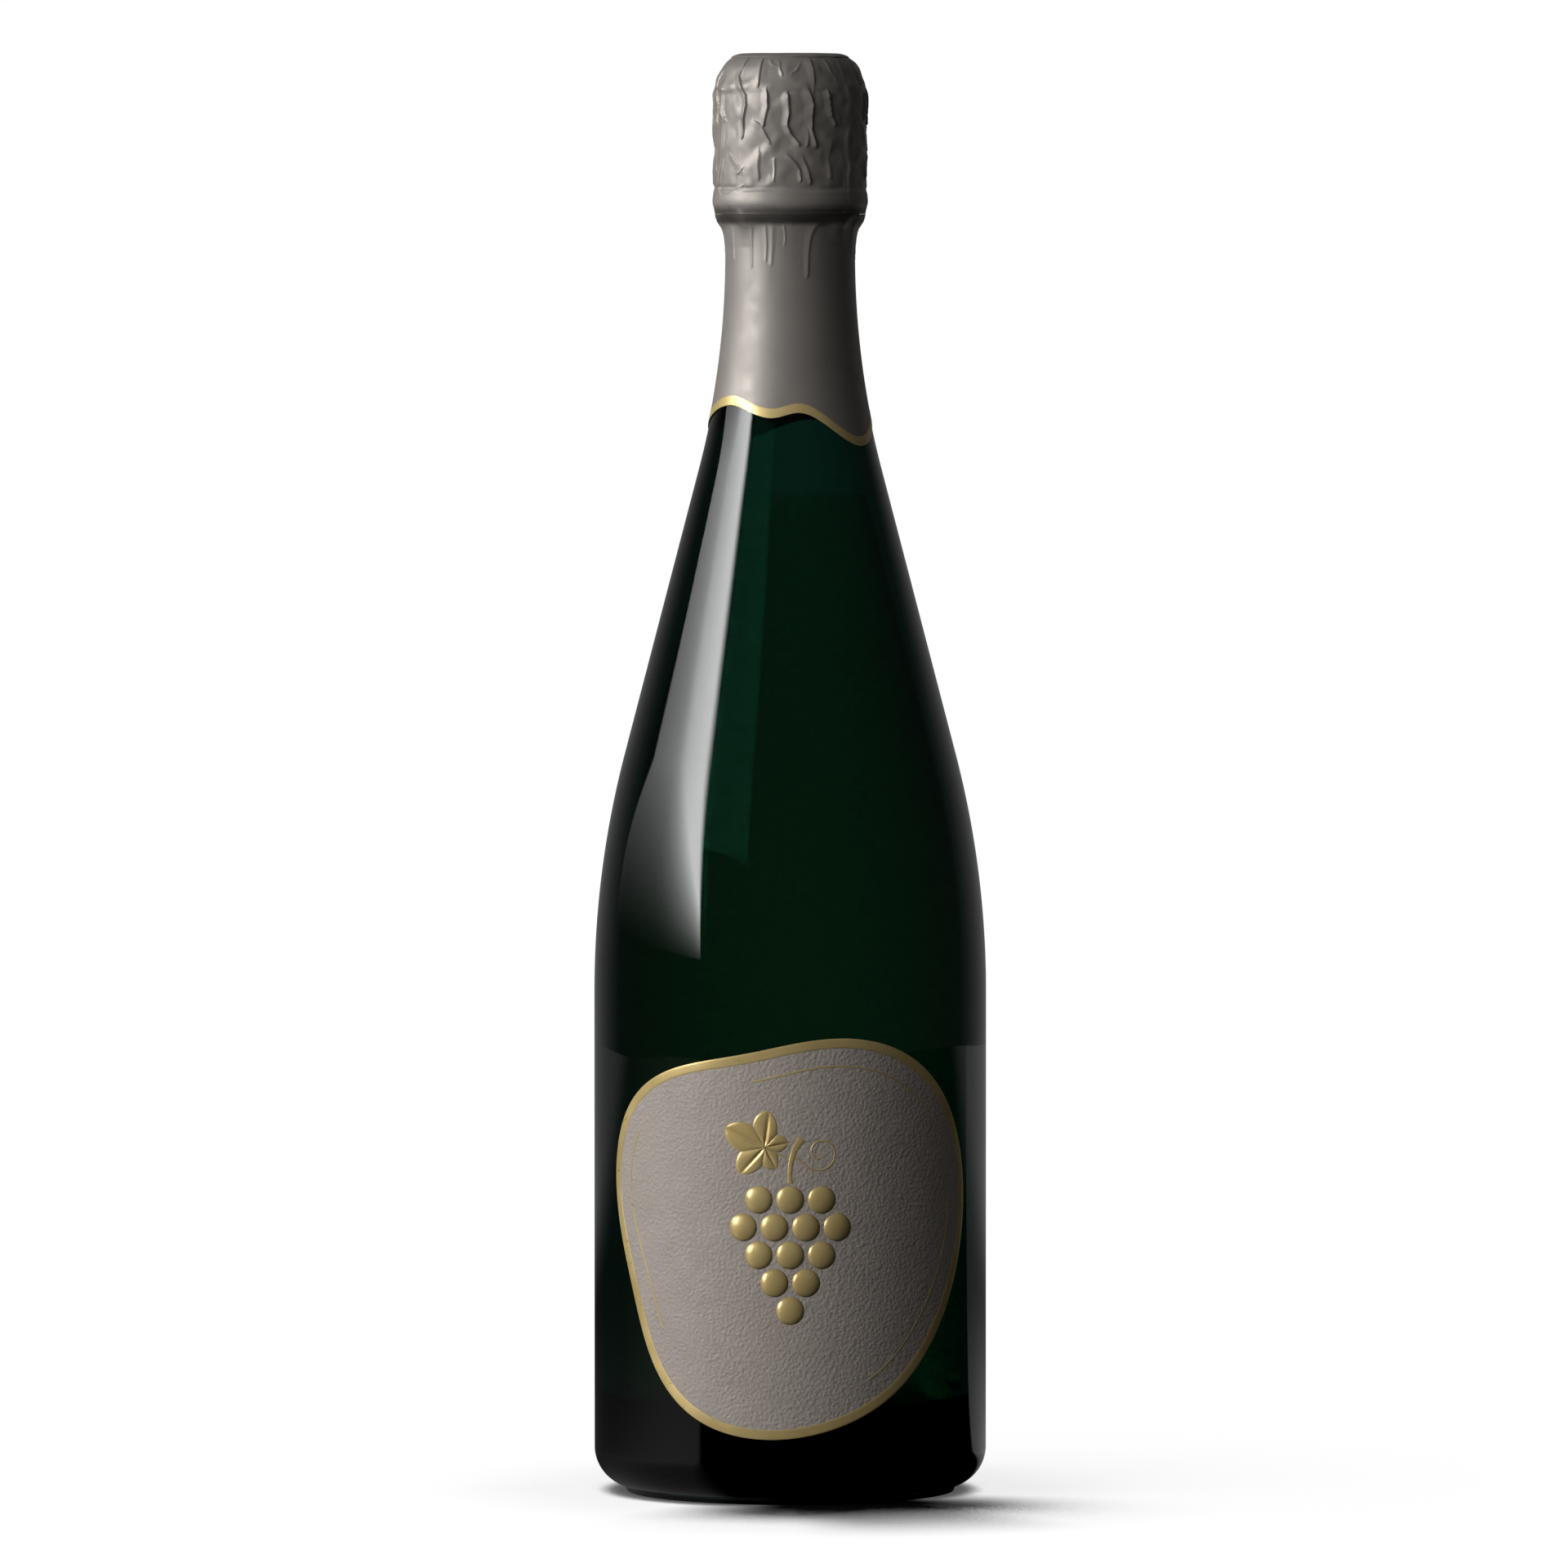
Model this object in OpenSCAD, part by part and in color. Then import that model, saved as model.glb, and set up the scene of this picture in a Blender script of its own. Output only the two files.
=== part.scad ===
// A 75 cl bottle of sparkling wine: thick glass with a punt, a mushroom cork held down by a
// twisted wire cage, and a foil whose cap lifts away from a collar with a wavy gilded hem.
// The bottle stands on its bearing ring at z = 0, with its axis on z and its label towards -y.

/* [Glass body] */
// Diameter of the straight body
body_d = 88; // [84:1:94]
// Height of the straight body, from the heel to the shoulder
body_straight_h = 102.41; // [92:0.01:112]
// Radius of the convex shoulder arc
shoulder_arc_r = 211; // [180:1:240]
// Slope of the shoulder's straight part, from the axis
shoulder_slope = 14.6; // [13.5:0.1:16]
// Radius of the hollow arc between shoulder and neck
neck_arc_r = 190; // [150:1:200]
// Diameter of the neck
neck_d = 28.6; // [28:0.1:29.4]
// Length of the neck's straight part, under the throat
neck_straight_h = 6.2; // [2:0.1:12]
// Thickness of the glass
wall = 4.9; // [4:0.1:5.4]
// Radius of the heel, where the body turns into the base
heel_r = 9; // [6:0.5:12]
// Height of the heel's foot above the table
foot_h = 0.9; // [0.5:0.1:2]

/* [Punt and base] */
// Distance from the bottle's side in to the ring that it stands on
bearing_inset = 7.2; // [6.5:0.1:8]
// Width of that ring
bearing_w = 2.6; // [2:0.1:4]
// Depth of the punt
punt_h = 40; // [30:1:46]
// Radius of the punt's dome
punt_dome_r = 14; // [11:0.5:16]
// Thickness of the glass over the punt
base_wall = 6.5; // [5:0.1:8]
// Radius of the corner where floor and wall meet inside
floor_fillet_r = 6; // [4:0.5:8]

/* [Mouth finish] */
// Diameter of the lip
lip_d = 28.6; // [27.6:0.1:29]
// Height of the lip
lip_h = 6.5; // [5:0.1:8]
// Radius of the lip's edges
lip_round_r = 1.2; // [0.6:0.1:1.8]
// Diameter of the groove under the lip
groove_d = 26.6; // [25.5:0.1:27.4]
// Diameter of the ring that the wire cage grips
ring_d = 30.8; // [30.4:0.1:31]
// Distance from the mouth down to the ring's upper edge
ring_top_drop = 9.5; // [9:0.1:10.5]
// Distance from the mouth down to the ring's underside
ring_drop = 14.9; // [14.5:0.1:16]
// Radius of the ring's edges
ring_round_r = 0.7; // [0.3:0.1:1.2]
// Diameter of the throat under the ring
throat_d = 27.8; // [27:0.1:28]
// Height of the throat
throat_h = 3.3; // [2.8:0.1:4]
// Diameter of the bore
bore_d = 17.5; // [17:0.1:18]
// Length of the straight bore
bore_len = 27; // [26:0.5:30]
// Length of the taper from the bore to the inside of the neck
bore_taper_h = 4; // [3:0.5:6]

/* [Wine] */
// Distance from the mouth down to the wine
fill_drop = 79; // [75:1:100]
// Gap between the wine and the glass
wet_gap = 0.05; // [0.02:0.01:0.1]

/* [Cork] */
// Radial clearance of the cork in the bore
cork_clearance = 0.05; // [0.02:0.01:0.1]
// Length of cork inside the neck
cork_plug_len = 24; // [20:0.5:26]
// Height of the head above the mouth
cork_head_h = 18.8; // [17:0.1:21]
// Diameter of the head
cork_head_d = 29.8; // [29:0.1:30]
// Height over which the head swells from the mouth
cork_swell_h = 3; // [2:0.1:4]
// Thickness of each of the two discs that meet the wine
cork_disc_h = 6; // [5:0.5:7]
// Chamfer of the cork's inner end
cork_chamfer = 0.5; // [0.2:0.1:1]

/* [Wire cage] */
// Diameter of the frame wire
frame_wire_d = 0.7; // [0.6:0.05:0.72]
// Diameter of the belt wire
belt_wire_d = 1; // [0.8:0.05:1.05]
// Clearance between wires, and between the wires and the glass
wire_gap = 0.05; // [0.03:0.01:0.08]
// Turns in each twisted leg
leg_turns = 4.25; // [2.25:1:6.25]
// Direction of the first leg, from the front
leg_turn_angle = 48; // [40:1:55]
// Turns in the twisted stem of the eye
eye_turns = 2.25; // [1.25:1:3.25]
// Length of the eye's twisted stem
eye_stem_len = 10; // [8:0.5:12]
// Length of the eye's loop
eye_loop_len = 9; // [7:0.5:11]
// Half the width of the eye's loop
eye_loop_half_w = 3.2; // [2.6:0.1:4]

/* [Plaque] */
// Thickness of the metal plaque
plaque_t = 0.25; // [0.2:0.05:0.3]
// Radius of the plaque's rim
plaque_rim_r = 16.65; // [16.5:0.05:16.7]
// Depth of the plaque, from its top to its rim
plaque_depth = 7.2; // [6.5:0.1:8]
// Slope of the plaque's flank, from the axis
crown_slope = 20; // [16:1:24]
// Radius of the plaque's corner
crown_corner_r = 5.5; // [4.5:0.1:6.2]
// Distance from the plaque's corner in to the groove pressed into its top
plaque_groove_inset = 1.2; // [1:0.1:4]
// Width of that groove
plaque_groove_w = 1.4; // [1:0.1:2]
// Depth of that groove
plaque_groove_depth = 0.3; // [0.2:0.05:0.35]
// Gap between the plaque and the cork
plaque_gap = 0.05; // [0.03:0.01:0.08]

/* [Foil] */
// Thickness of the foil
foil_t = 0.2; // [0.15:0.01:0.22]
// Gap between the foil and the glass of the neck
foil_gap = 0.05; // [0.03:0.01:0.08]
// Gap between the foil cap and the wire legs
cap_leg_gap = 0.1; // [0.08:0.01:0.14]
// Gap between the foil cap and the plaque
cap_plaque_gap = 0.3; // [0.2:0.05:0.4]
// Distance from the ring's underside down to the torn edge
tear_drop = 1; // [0.8:0.1:1.2]
// Width of the torn line between cap and collar
tear_gap = 0.1; // [0.08:0.01:0.2]
// Distance that the foil's top disc reaches out over the cap's corner
top_disc_reach = 3; // [2:0.1:4]
// Thickness of the glue under the disc
top_disc_glue_t = 0.03; // [0.02:0.01:0.05]
// Width of the foil edge folded in under the disc
top_fold_w = 1; // [0.5:0.1:2.5]
// Length of the tear tab around the neck
tab_len = 12; // [8:0.5:15]
// Height of the tear tab
tab_h = 5; // [4:0.5:6]
// Gap between the tear tab and the cap
tab_gap = 0.06; // [0.04:0.01:0.1]
// Height of the tab's lower edge above the torn edge
tab_lift = 0.4; // [0.2:0.1:1]
// Height over which the collar flares out to the torn edge
flare_h = 5.25; // [4:0.05:6]

/* [Collar hem] */
// Distance from the mouth down to the lowest point of the hem
hem_drop = 67.6; // [62:0.1:70]
// Rise from the lowest to the highest point of the hem
hem_swing = 9.1; // [6:0.1:11]
// Height of the gilded band along the hem
hem_band_h = 2.1; // [1:0.1:3]
// Thickness of the gilding
gilding_t = 0.04; // [0.03:0.01:0.05]

/* [Label] */
// Distance from the label's mean outline to the ends of the straight body
label_margin = 5.7; // [5:0.1:12]
// Height of the label's middle above the middle of the straight body
label_raise = 0.4; // [0:0.1:1]
// Thickness of the label
label_t = 0.12; // [0.1:0.01:0.14]
// Thickness of the glue under the label
label_glue_t = 0.02; // [0.01:0.01:0.03]
// Width of the gilded border
border_w = 2.2; // [1:0.1:3]
// Distance from the label's edge to the thin inner line
inner_line_inset = 6.2; // [5:0.1:8]
// Width of the thin inner line
inner_line_w = 0.4; // [0.3:0.05:0.6]
// Gap between the berries of the bunch of grapes
berry_gap = 0.8; // [0.4:0.1:2]

/* [Hidden] */
$fn = 96;

// Steps in an arc of an outline
arc_steps = 8;
// Angles of a full turn, a half turn and a quarter turn
full_turn = 360;
half_turn = 180;
quarter_turn = 90;
// Overrun of cutting solids
over = 1;

body_r = body_d / 2;
neck_r = neck_d / 2;
bore_r = bore_d / 2;
lip_r = lip_d / 2;
groove_r = groove_d / 2;
ring_r = ring_d / 2;
throat_r = throat_d / 2;
bearing_r = body_r - bearing_inset;

// Up from the body, the shoulder's arc, a cone and a hollow arc meet without a corner
heel_top_z = heel_r + foot_h;
heel_start_angle = -70;
foot_lean_share = 0.33;
body_top_z = heel_top_z + body_straight_h;
shoulder_end_z = body_top_z + shoulder_arc_r * sin(shoulder_slope);
shoulder_end_r = body_r - shoulder_arc_r * (1 - cos(shoulder_slope));
hollow_start_r = neck_r + neck_arc_r * (1 - cos(shoulder_slope));
hollow_start_z = shoulder_end_z + (shoulder_end_r - hollow_start_r) / tan(shoulder_slope);
neck_z = hollow_start_z + neck_arc_r * sin(shoulder_slope);
throat_z = neck_z + neck_straight_h + neck_r - throat_r;

ring_z = throat_z + throat_h;
glass_h = ring_z + ring_drop;
ring_top_z = glass_h - ring_top_drop;
lip_z = glass_h - lip_h;
bore_z = glass_h - bore_len;
taper_z = bore_z - bore_taper_h;
fill_z = glass_h - fill_drop;

// The punt's wall runs from the bearing ring to the dome, and touches the dome
punt_foot = [bearing_r - bearing_w - bearing_w / 2, bearing_w / 2];
punt_dome_z = punt_h - punt_dome_r;
punt_reach = norm([punt_foot[0], punt_dome_z - punt_foot[1]]);
punt_lean = atan2(punt_dome_z - punt_foot[1], -punt_foot[0]) - asin(punt_dome_r / punt_reach);
punt_normal = punt_lean - quarter_turn;
floor_r = body_r - wall - floor_fillet_r;
floor_z = punt_foot[1] + base_wall * sin(punt_normal)
    + (floor_fillet_r - cos(punt_normal) * (floor_r - punt_foot[0] - base_wall * cos(punt_normal)))
    / sin(punt_normal);

// Heights of the cork, plaque and foil above the mouth
cork_r = bore_r - cork_clearance;
cork_head_r = cork_head_d / 2;
cork_end_z = glass_h - cork_plug_len;
plaque_top_z = glass_h + cork_head_h + plaque_gap + plaque_groove_depth + plaque_t;
plaque_rim_z = plaque_top_z - plaque_depth;
crown_z = plaque_top_z - crown_corner_r;
crown_r = plaque_rim_r + tan(crown_slope) * (plaque_rim_z - crown_z)
    - crown_corner_r / cos(crown_slope);
plaque_groove_r = crown_r - plaque_groove_inset;
cap_top_z = plaque_top_z + cap_plaque_gap + foil_t;

// The cage's wires lie round the cork's head, outside the ring, and hook round the belt below it
frame_r = frame_wire_d / 2;
belt_wire_r = belt_wire_d / 2;
pair_gap_share = 0.8;
pair_r = frame_r + wire_gap * pair_gap_share;
crown_wire_r = plaque_rim_r - plaque_t - frame_wire_d - wire_gap;
crown_wire_z = plaque_rim_z + frame_r + wire_gap;
leg_r = ring_r + wire_gap + pair_r + frame_r;
eyelet_r = belt_wire_r + frame_r + 2 * wire_gap;
belt_r = throat_r + wire_gap + frame_r + eyelet_r;
belt_z = ring_z - wire_gap - frame_r - eyelet_r - wire_gap;
leg_foot_z = ring_z + frame_wire_d;
leg_splay_h = 3 * frame_wire_d;
leg_end_h = frame_r;
eye_pair_r = belt_wire_r + wire_gap * pair_gap_share;
eye_r = leg_r + frame_r + pair_r - belt_wire_r;
eye_twist_r = leg_r + frame_r + pair_r - belt_wire_r - eye_pair_r;
belt_end_angle = asin((2 * eye_pair_r + belt_wire_r) / belt_r);
eye_stem_z = ring_top_z + belt_wire_d;
eye_turn_angle = leg_turn_angle + quarter_turn / 2 + quarter_turn;

// The foil stands just outside the legs
cap_in_r = leg_r + pair_r + frame_r + cap_leg_gap;
cap_out_r = cap_in_r + foil_t;
tear_z = ring_z - tear_drop;
hem_low_z = glass_h - hem_drop;
// Points of the collar's flare, as shares of its height and of its width
flare_shares = [[0, 0.13], [0.37, 0.26], [0.81, 1], [1, 1]];

// Sides of a wire's cross-section, and rings along a twisted turn and along each bend
wire_sides = 6;
rings_per_turn = 9;
splay_rings = 5;
crown_arc_rings = 9;
eyelet_rings = 12;
eyelet_sweep_share = 0.79;
eye_loop_rings = 16;

// Turning points of the hem, as angles from the front and shares of its rise
hem_angles = [-130, -48.6, -13.4, 6, 54.5, 112, 160, 230];
hem_height_shares = [0.1, 1, 0.69, 0.82, 0, 0.95, 0.6, 0.1];
hem_steps = 90;

// Lobes of the label's outline: number of lobes, share of the mean radius, and direction
label_lobe_shares = [[2, 0.03, 20], [3, 0.06, 30], [4, 0.03, 60], [5, 0.012, 10]];
label_steps = 90;
// The thin inner line, as stretches between two directions
inner_line_spans = [[-62, 8], [38, 104], [150, 216]];
// Berries in each row of the bunch, from the top
berry_rows = [3, 4, 3, 2, 1];
// Distance between berries as a share of the label's size, and between rows as a share of that
berry_pitch_share = 0.154;
berry_row_share = 0.88;
// Height of the bunch's top row above the label's middle, as a share of the pitch
bunch_lift_share = 1;
// Stem over the top row: its middle line and half width, as shares of the pitch
stem_line_shares = [[0, 0.52, 0.08], [-0.02, 0.8, 0.07], [0.02, 1.2, 0.08], [0.14, 1.6, 0.1],
    [0.36, 1.95, 0.14]];
// Leaf: its size, its stalk's foot beside the stem and its middle along the stalk, as shares of the pitch
leaf_size_share = 1.05;
leaf_foot_shares = [-0.1, 1.33];
leaf_middle_share = 0.78;
// Turn of the leaf's tip, and how sharp its notches are
leaf_turn = 155;
leaf_lobes = 5;
leaf_notch_power = 1.4;
// Depth of the notches, and extra length of the leaf's tip, as shares of its size
leaf_notch_share = 0.42;
leaf_lead_share = 0.35;
// Tendril: its foot on the stem, the middle of its curl and its first and last radius, as shares of the pitch
tendril_foot_shares = [0.03, 1.42];
tendril_place_shares = [0.95, 1.5];
tendril_reach_shares = [0.62, 0.14];
tendril_start = 215;
tendril_sweep = 450;
tendril_steps = 30;
// Half the height that the label's shell spans, as a share of the label's size
label_span_share = 1.15;
label_r = body_r + label_glue_t;
label_size = (body_top_z - heel_top_z) / 2 - label_margin;
label_z = (body_top_z + heel_top_z) / 2 + label_raise;
berry_pitch = label_size * berry_pitch_share;
berry_d = berry_pitch - berry_gap;

foil_rgb = [0.62, 0.59, 0.56];
gold_rgb = [0.72, 0.62, 0.38];
wire_rgb = [0.72, 0.73, 0.74];
cork_rgb = [0.78, 0.62, 0.43];

// Points of an arc about (r, z), from angle a to angle b
function arc(r, z, radius, a, b, steps = arc_steps) =
    [for (i = [0:steps]) let (t = a + (b - a) * i / steps) [r + radius * cos(t), z + radius * sin(t)]];

function reversed(points) = [for (i = [len(points) - 1:-1:0]) points[i]];

// Share of a smooth step from 0 to 1
function ease(t) = let (u = min(max(t, 0), 1)) u * u * (3 - 2 * u);

// The glass's shoulder, moved inwards by a depth
function shoulder(depth) =
    arc(body_r - shoulder_arc_r, body_top_z, shoulder_arc_r - depth, 0, shoulder_slope);

// The hollow below the neck, moved inwards by a depth, between two heights
function hollow(depth, low_z, high_z) = let (radius = neck_arc_r + depth)
    arc(neck_r + neck_arc_r, neck_z, radius, half_turn + asin((neck_z - low_z) / radius),
        half_turn + asin((neck_z - high_z) / radius));

// Radius of the shoulder's cone at a height, moved inwards by a depth
function cone_r(depth, z) =
    shoulder_end_r - ((z - shoulder_end_z) * sin(shoulder_slope) + depth) / cos(shoulder_slope);

// The inside of the base, from the axis to the wall, moved into the wine by a depth
function floor_line(depth) = concat(
    arc(0, punt_dome_z, punt_dome_r + base_wall + depth, quarter_turn, punt_normal),
    arc(floor_r, floor_z, floor_fillet_r - depth, half_turn + punt_normal, full_turn));

// The crown over the cork's head, moved outwards by a distance, from the flank's foot to the top
function crown(distance, foot_z) = concat(
    [[plaque_rim_r + (distance - (foot_z - plaque_rim_z) * sin(crown_slope)) / cos(crown_slope),
        foot_z]],
    arc(crown_r, crown_z, crown_corner_r + distance, crown_slope, quarter_turn));

// The crown at a distance, from where its flank leaves a cylinder of a given radius
function crown_over(distance, radius) = let (
    foot_z = plaque_rim_z + (distance - (radius - plaque_rim_r) * cos(crown_slope))
        / sin(crown_slope)) crown(distance, foot_z);

// The top of the crown at a distance, from the top disc's edge to the axis
function crown_top(distance) = let (radius = crown_corner_r + distance)
    concat(arc(crown_r, crown_z, radius, acos(top_disc_reach / radius), quarter_turn),
        [[0, crown_z + radius]]);

// Height of the hem's lower edge at an angle from the front
function hem_z(angle) = let (
    a = angle < hem_angles[0] ? angle + full_turn : angle,
    i = max([for (k = [0:len(hem_angles) - 2]) if (hem_angles[k] <= a) k]),
    t = (a - hem_angles[i]) / (hem_angles[i + 1] - hem_angles[i]),
    share = hem_height_shares[i] + (hem_height_shares[i + 1] - hem_height_shares[i]) * ease(t))
    hem_low_z + hem_swing * share;

// Distance from the label's middle to its outline, in a direction
function label_reach(a) = label_size
    * (1 + [for (lobe = label_lobe_shares) lobe[1] * cos(lobe[0] * (a - lobe[2]))]
        * [for (lobe = label_lobe_shares) 1]);

// A point of the label, measured along the glass, as the front view shows it
function wrapped(along, up) = [body_r * sin(along / body_r * half_turn / PI), label_z + up];

// The label's outline between two directions, moved inwards by an inset
function label_line(inset, a, b, steps) =
    [for (i = [0:steps]) let (t = a + (b - a) * i / steps, reach = label_reach(t) - inset)
        wrapped(reach * cos(t), reach * sin(t))];

// A tube of wire along points, with flat ends
module wire(points, radius) {
    last = len(points) - 1;
    rings = [for (i = [0:last]) let (
        along = points[min(i + 1, last)] - points[max(i - 1, 0)],
        forward = along / norm(along),
        side = cross(forward, abs(forward[1]) < abs(forward[0]) ? [0, 1, 0] : [1, 0, 0]),
        flank = side / norm(side),
        rise = cross(flank, forward))
        for (k = [0:wire_sides - 1]) let (t = full_turn * k / wire_sides)
            points[i] + radius * (cos(t) * flank + sin(t) * rise)];
    walls = [for (i = [0:last - 1], k = [0:wire_sides - 1]) let (
        n = (k + 1) % wire_sides, a = i * wire_sides, b = a + wire_sides)
        each [[a + k, a + n, b + n], [a + k, b + n, b + k]]];
    first_end = [for (k = [1:wire_sides - 2]) [0, k + 1, k]];
    last_end = [for (k = [1:wire_sides - 2]) [last * wire_sides, last * wire_sides + k,
        last * wire_sides + k + 1]];
    polyhedron(points = rings, faces = concat(walls, first_end, last_end));
}

// A thick tube whose bottom follows the hem, and whose top follows it too or is level
module above_hem(height, level) {
    n = hem_steps;
    hem = [for (i = [0:n - 1]) let (a = full_turn * i / n - half_turn) [a, hem_z(a)]];
    points = [for (r = [throat_r / 2, body_r], high = [0, 1], p = hem)
        [r * sin(p[0]), -r * cos(p[0]), high == 0 ? p[1] : height + (level ? hem_low_z : p[1])]];
    faces = [for (i = [0:n - 1]) let (j = (i + 1) % n) each [
        [i, j, 2 * n + j], [i, 2 * n + j, 2 * n + i],
        [n + i, 3 * n + j, n + j], [n + i, 3 * n + i, 3 * n + j],
        [i, n + i, n + j], [i, n + j, j],
        [2 * n + i, 2 * n + j, 3 * n + j], [2 * n + i, 3 * n + j, 3 * n + i]]];
    polyhedron(points = points, faces = faces);
}

module bottle_glass() {
    outside = concat(
        arc(0, punt_dome_z, punt_dome_r, quarter_turn, punt_normal),
        [punt_foot, [bearing_r - bearing_w, 0], [bearing_r, 0],
            [bearing_r + foot_h * foot_lean_share, foot_h]],
        arc(body_r - heel_r, heel_top_z, heel_r, heel_start_angle, 0),
        shoulder(0),
        hollow(0, hollow_start_z, neck_z),
        [[neck_r, neck_z + neck_straight_h], [throat_r, throat_z], [throat_r, ring_z]],
        arc(ring_r - ring_round_r, ring_z + ring_round_r, ring_round_r, -quarter_turn, 0),
        arc(ring_r - ring_round_r, ring_top_z - ring_round_r, ring_round_r, 0, full_turn / 6),
        [[groove_r, ring_top_z + ring_round_r], [groove_r, lip_z - (lip_r - groove_r) / 2]],
        arc(lip_r - lip_round_r, lip_z + lip_round_r, lip_round_r, -quarter_turn / 2, 0),
        arc(lip_r - lip_round_r, glass_h - lip_round_r, lip_round_r, 0, quarter_turn));
    inside = concat(
        floor_line(0),
        shoulder(wall),
        hollow(wall, hollow_start_z - wall * sin(shoulder_slope), taper_z),
        [[bore_r, bore_z], [bore_r, glass_h - lip_round_r / 2]],
        [[bore_r + lip_round_r / 2, glass_h]]);
    color([0.02, 0.09, 0.05]) rotate_extrude() polygon(concat(outside, reversed(inside)));
}

module wine() {
    depth = wall + wet_gap;
    color([0.75, 0.6, 0.25]) rotate_extrude() polygon(concat(
        floor_line(wet_gap), shoulder(depth), [[cone_r(depth, fill_z), fill_z], [0, fill_z]]));
}

module cork_body() {
    seat_z = glass_h + cork_clearance;
    plug_z = cork_end_z + 2 * cork_disc_h;
    head_foot_z = crown_z - crown_corner_r;
    inset = plaque_t + plaque_gap + plaque_groove_depth;
    head = [for (p = crown(-inset, head_foot_z)) [min(p[0], cork_head_r), p[1]]];
    color(cork_rgb) rotate_extrude() polygon(concat(
        [[0, plug_z], [cork_r, plug_z], [cork_r, seat_z],
            [lip_r - lip_round_r, seat_z]],
        arc(cork_head_r - cork_swell_h, seat_z + cork_swell_h, cork_swell_h, -full_turn / 6, 0),
        head));
}

module cork_disc(z, chamfer) {
    color(cork_rgb) translate([0, 0, z]) rotate_extrude() polygon([[0, 0],
        [cork_r - chamfer, 0], [cork_r, chamfer], [cork_r, cork_disc_h], [0, cork_disc_h]]);
}

module cork_disc_upper() {
    cork_disc(cork_end_z + cork_disc_h, 0);
}

module cork_disc_lower() {
    cork_disc(cork_end_z, cork_chamfer);
}

// The plaque's skin at a distance from its outside, with its pressed groove
function plaque_skin(distance) = let (z = plaque_top_z + distance, half = plaque_groove_w / 2)
    concat(crown(distance, plaque_rim_z),
        [[plaque_groove_r + half, z], [plaque_groove_r, z - plaque_groove_depth],
            [plaque_groove_r - half, z], [0, z]]);

module muselet_plaque() {
    color([0.82, 0.8, 0.74]) rotate_extrude()
        polygon(concat(plaque_skin(0), reversed(plaque_skin(-plaque_t))));
}

// One strand of a leg, from the crown down to its eyelet, with +x outwards. It leaves the
// crown along a quarter of an ellipse, twists, and ends upright.
function leg_strand(side) = let (
    twist_z = crown_wire_z - leg_splay_h,
    steps = ceil(leg_turns * rings_per_turn))
    concat(
        [for (i = [0:splay_rings - 1]) let (a = quarter_turn * i / splay_rings)
            [crown_wire_r + (leg_r - crown_wire_r) * ease(i / splay_rings),
                side * (pair_r + leg_splay_h * (1 - sin(a))),
                twist_z + leg_splay_h * cos(a)]],
        [for (i = [0:steps]) let (turn = full_turn * leg_turns * i / steps)
            [leg_r + side * pair_r * sin(turn), side * pair_r * cos(turn),
                twist_z + (leg_foot_z + leg_end_h - twist_z) * i / steps]],
        [[leg_r + side * pair_r * sin(full_turn * leg_turns),
            side * pair_r * cos(full_turn * leg_turns), leg_foot_z]]);

// Points turned about the bottle's axis
function turned(points, angle) = [for (p = points)
    [p[0] * cos(angle) - p[1] * sin(angle), p[0] * sin(angle) + p[1] * cos(angle), p[2]]];

// One wire of the frame: up one leg, a quarter of the way round the crown, down the next leg
function frame_wire() = let (
    start = asin((pair_r + leg_splay_h) / crown_wire_r),
    span = quarter_turn - 2 * start)
    concat(
        reversed(leg_strand(1)),
        [for (i = [1:crown_arc_rings - 1]) let (a = start + span * i / crown_arc_rings)
            [crown_wire_r * cos(a), crown_wire_r * sin(a), crown_wire_z]],
        turned(leg_strand(-1), quarter_turn));

// The bend of a leg's wire round the belt, from the outer strand to the inner one
function eyelet_points() = concat(
    [leg_strand(1)[len(leg_strand(1)) - 1]],
    [leg_strand(1)[len(leg_strand(1)) - 1] - [0, 0, leg_end_h]],
    [for (i = [0:eyelet_rings]) let (a = -full_turn * eyelet_sweep_share * i / eyelet_rings)
        [belt_r + eyelet_r * cos(a), 0, belt_z + eyelet_r * sin(a)]],
    [leg_strand(-1)[len(leg_strand(-1)) - 1] - [0, 0, leg_end_h]],
    [leg_strand(-1)[len(leg_strand(-1)) - 1]]);

module at_leg(number) {
    rotate([0, 0, leg_turn_angle + quarter_turn * (number - 1)]) children();
}

module muselet_wire_right() {
    color(wire_rgb) at_leg(0) wire(frame_wire(), frame_r);
}

module muselet_wire_back() {
    color(wire_rgb) at_leg(1) wire(frame_wire(), frame_r);
}

module muselet_wire_left() {
    color(wire_rgb) at_leg(2) wire(frame_wire(), frame_r);
}

module muselet_wire_front() {
    color(wire_rgb) at_leg(3) wire(frame_wire(), frame_r);
}

module muselet_leg_eyelets() {
    color(wire_rgb) for (number = [0:3]) at_leg(number) wire(eyelet_points(), frame_r);
}

module muselet_belt() {
    color(wire_rgb) translate([0, 0, belt_z])
        rotate([0, 0, eye_turn_angle - quarter_turn + belt_end_angle])
        rotate_extrude(angle = full_turn - 2 * belt_end_angle)
            translate([belt_r, 0]) circle(r = belt_wire_r, $fn = 24);
}

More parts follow.
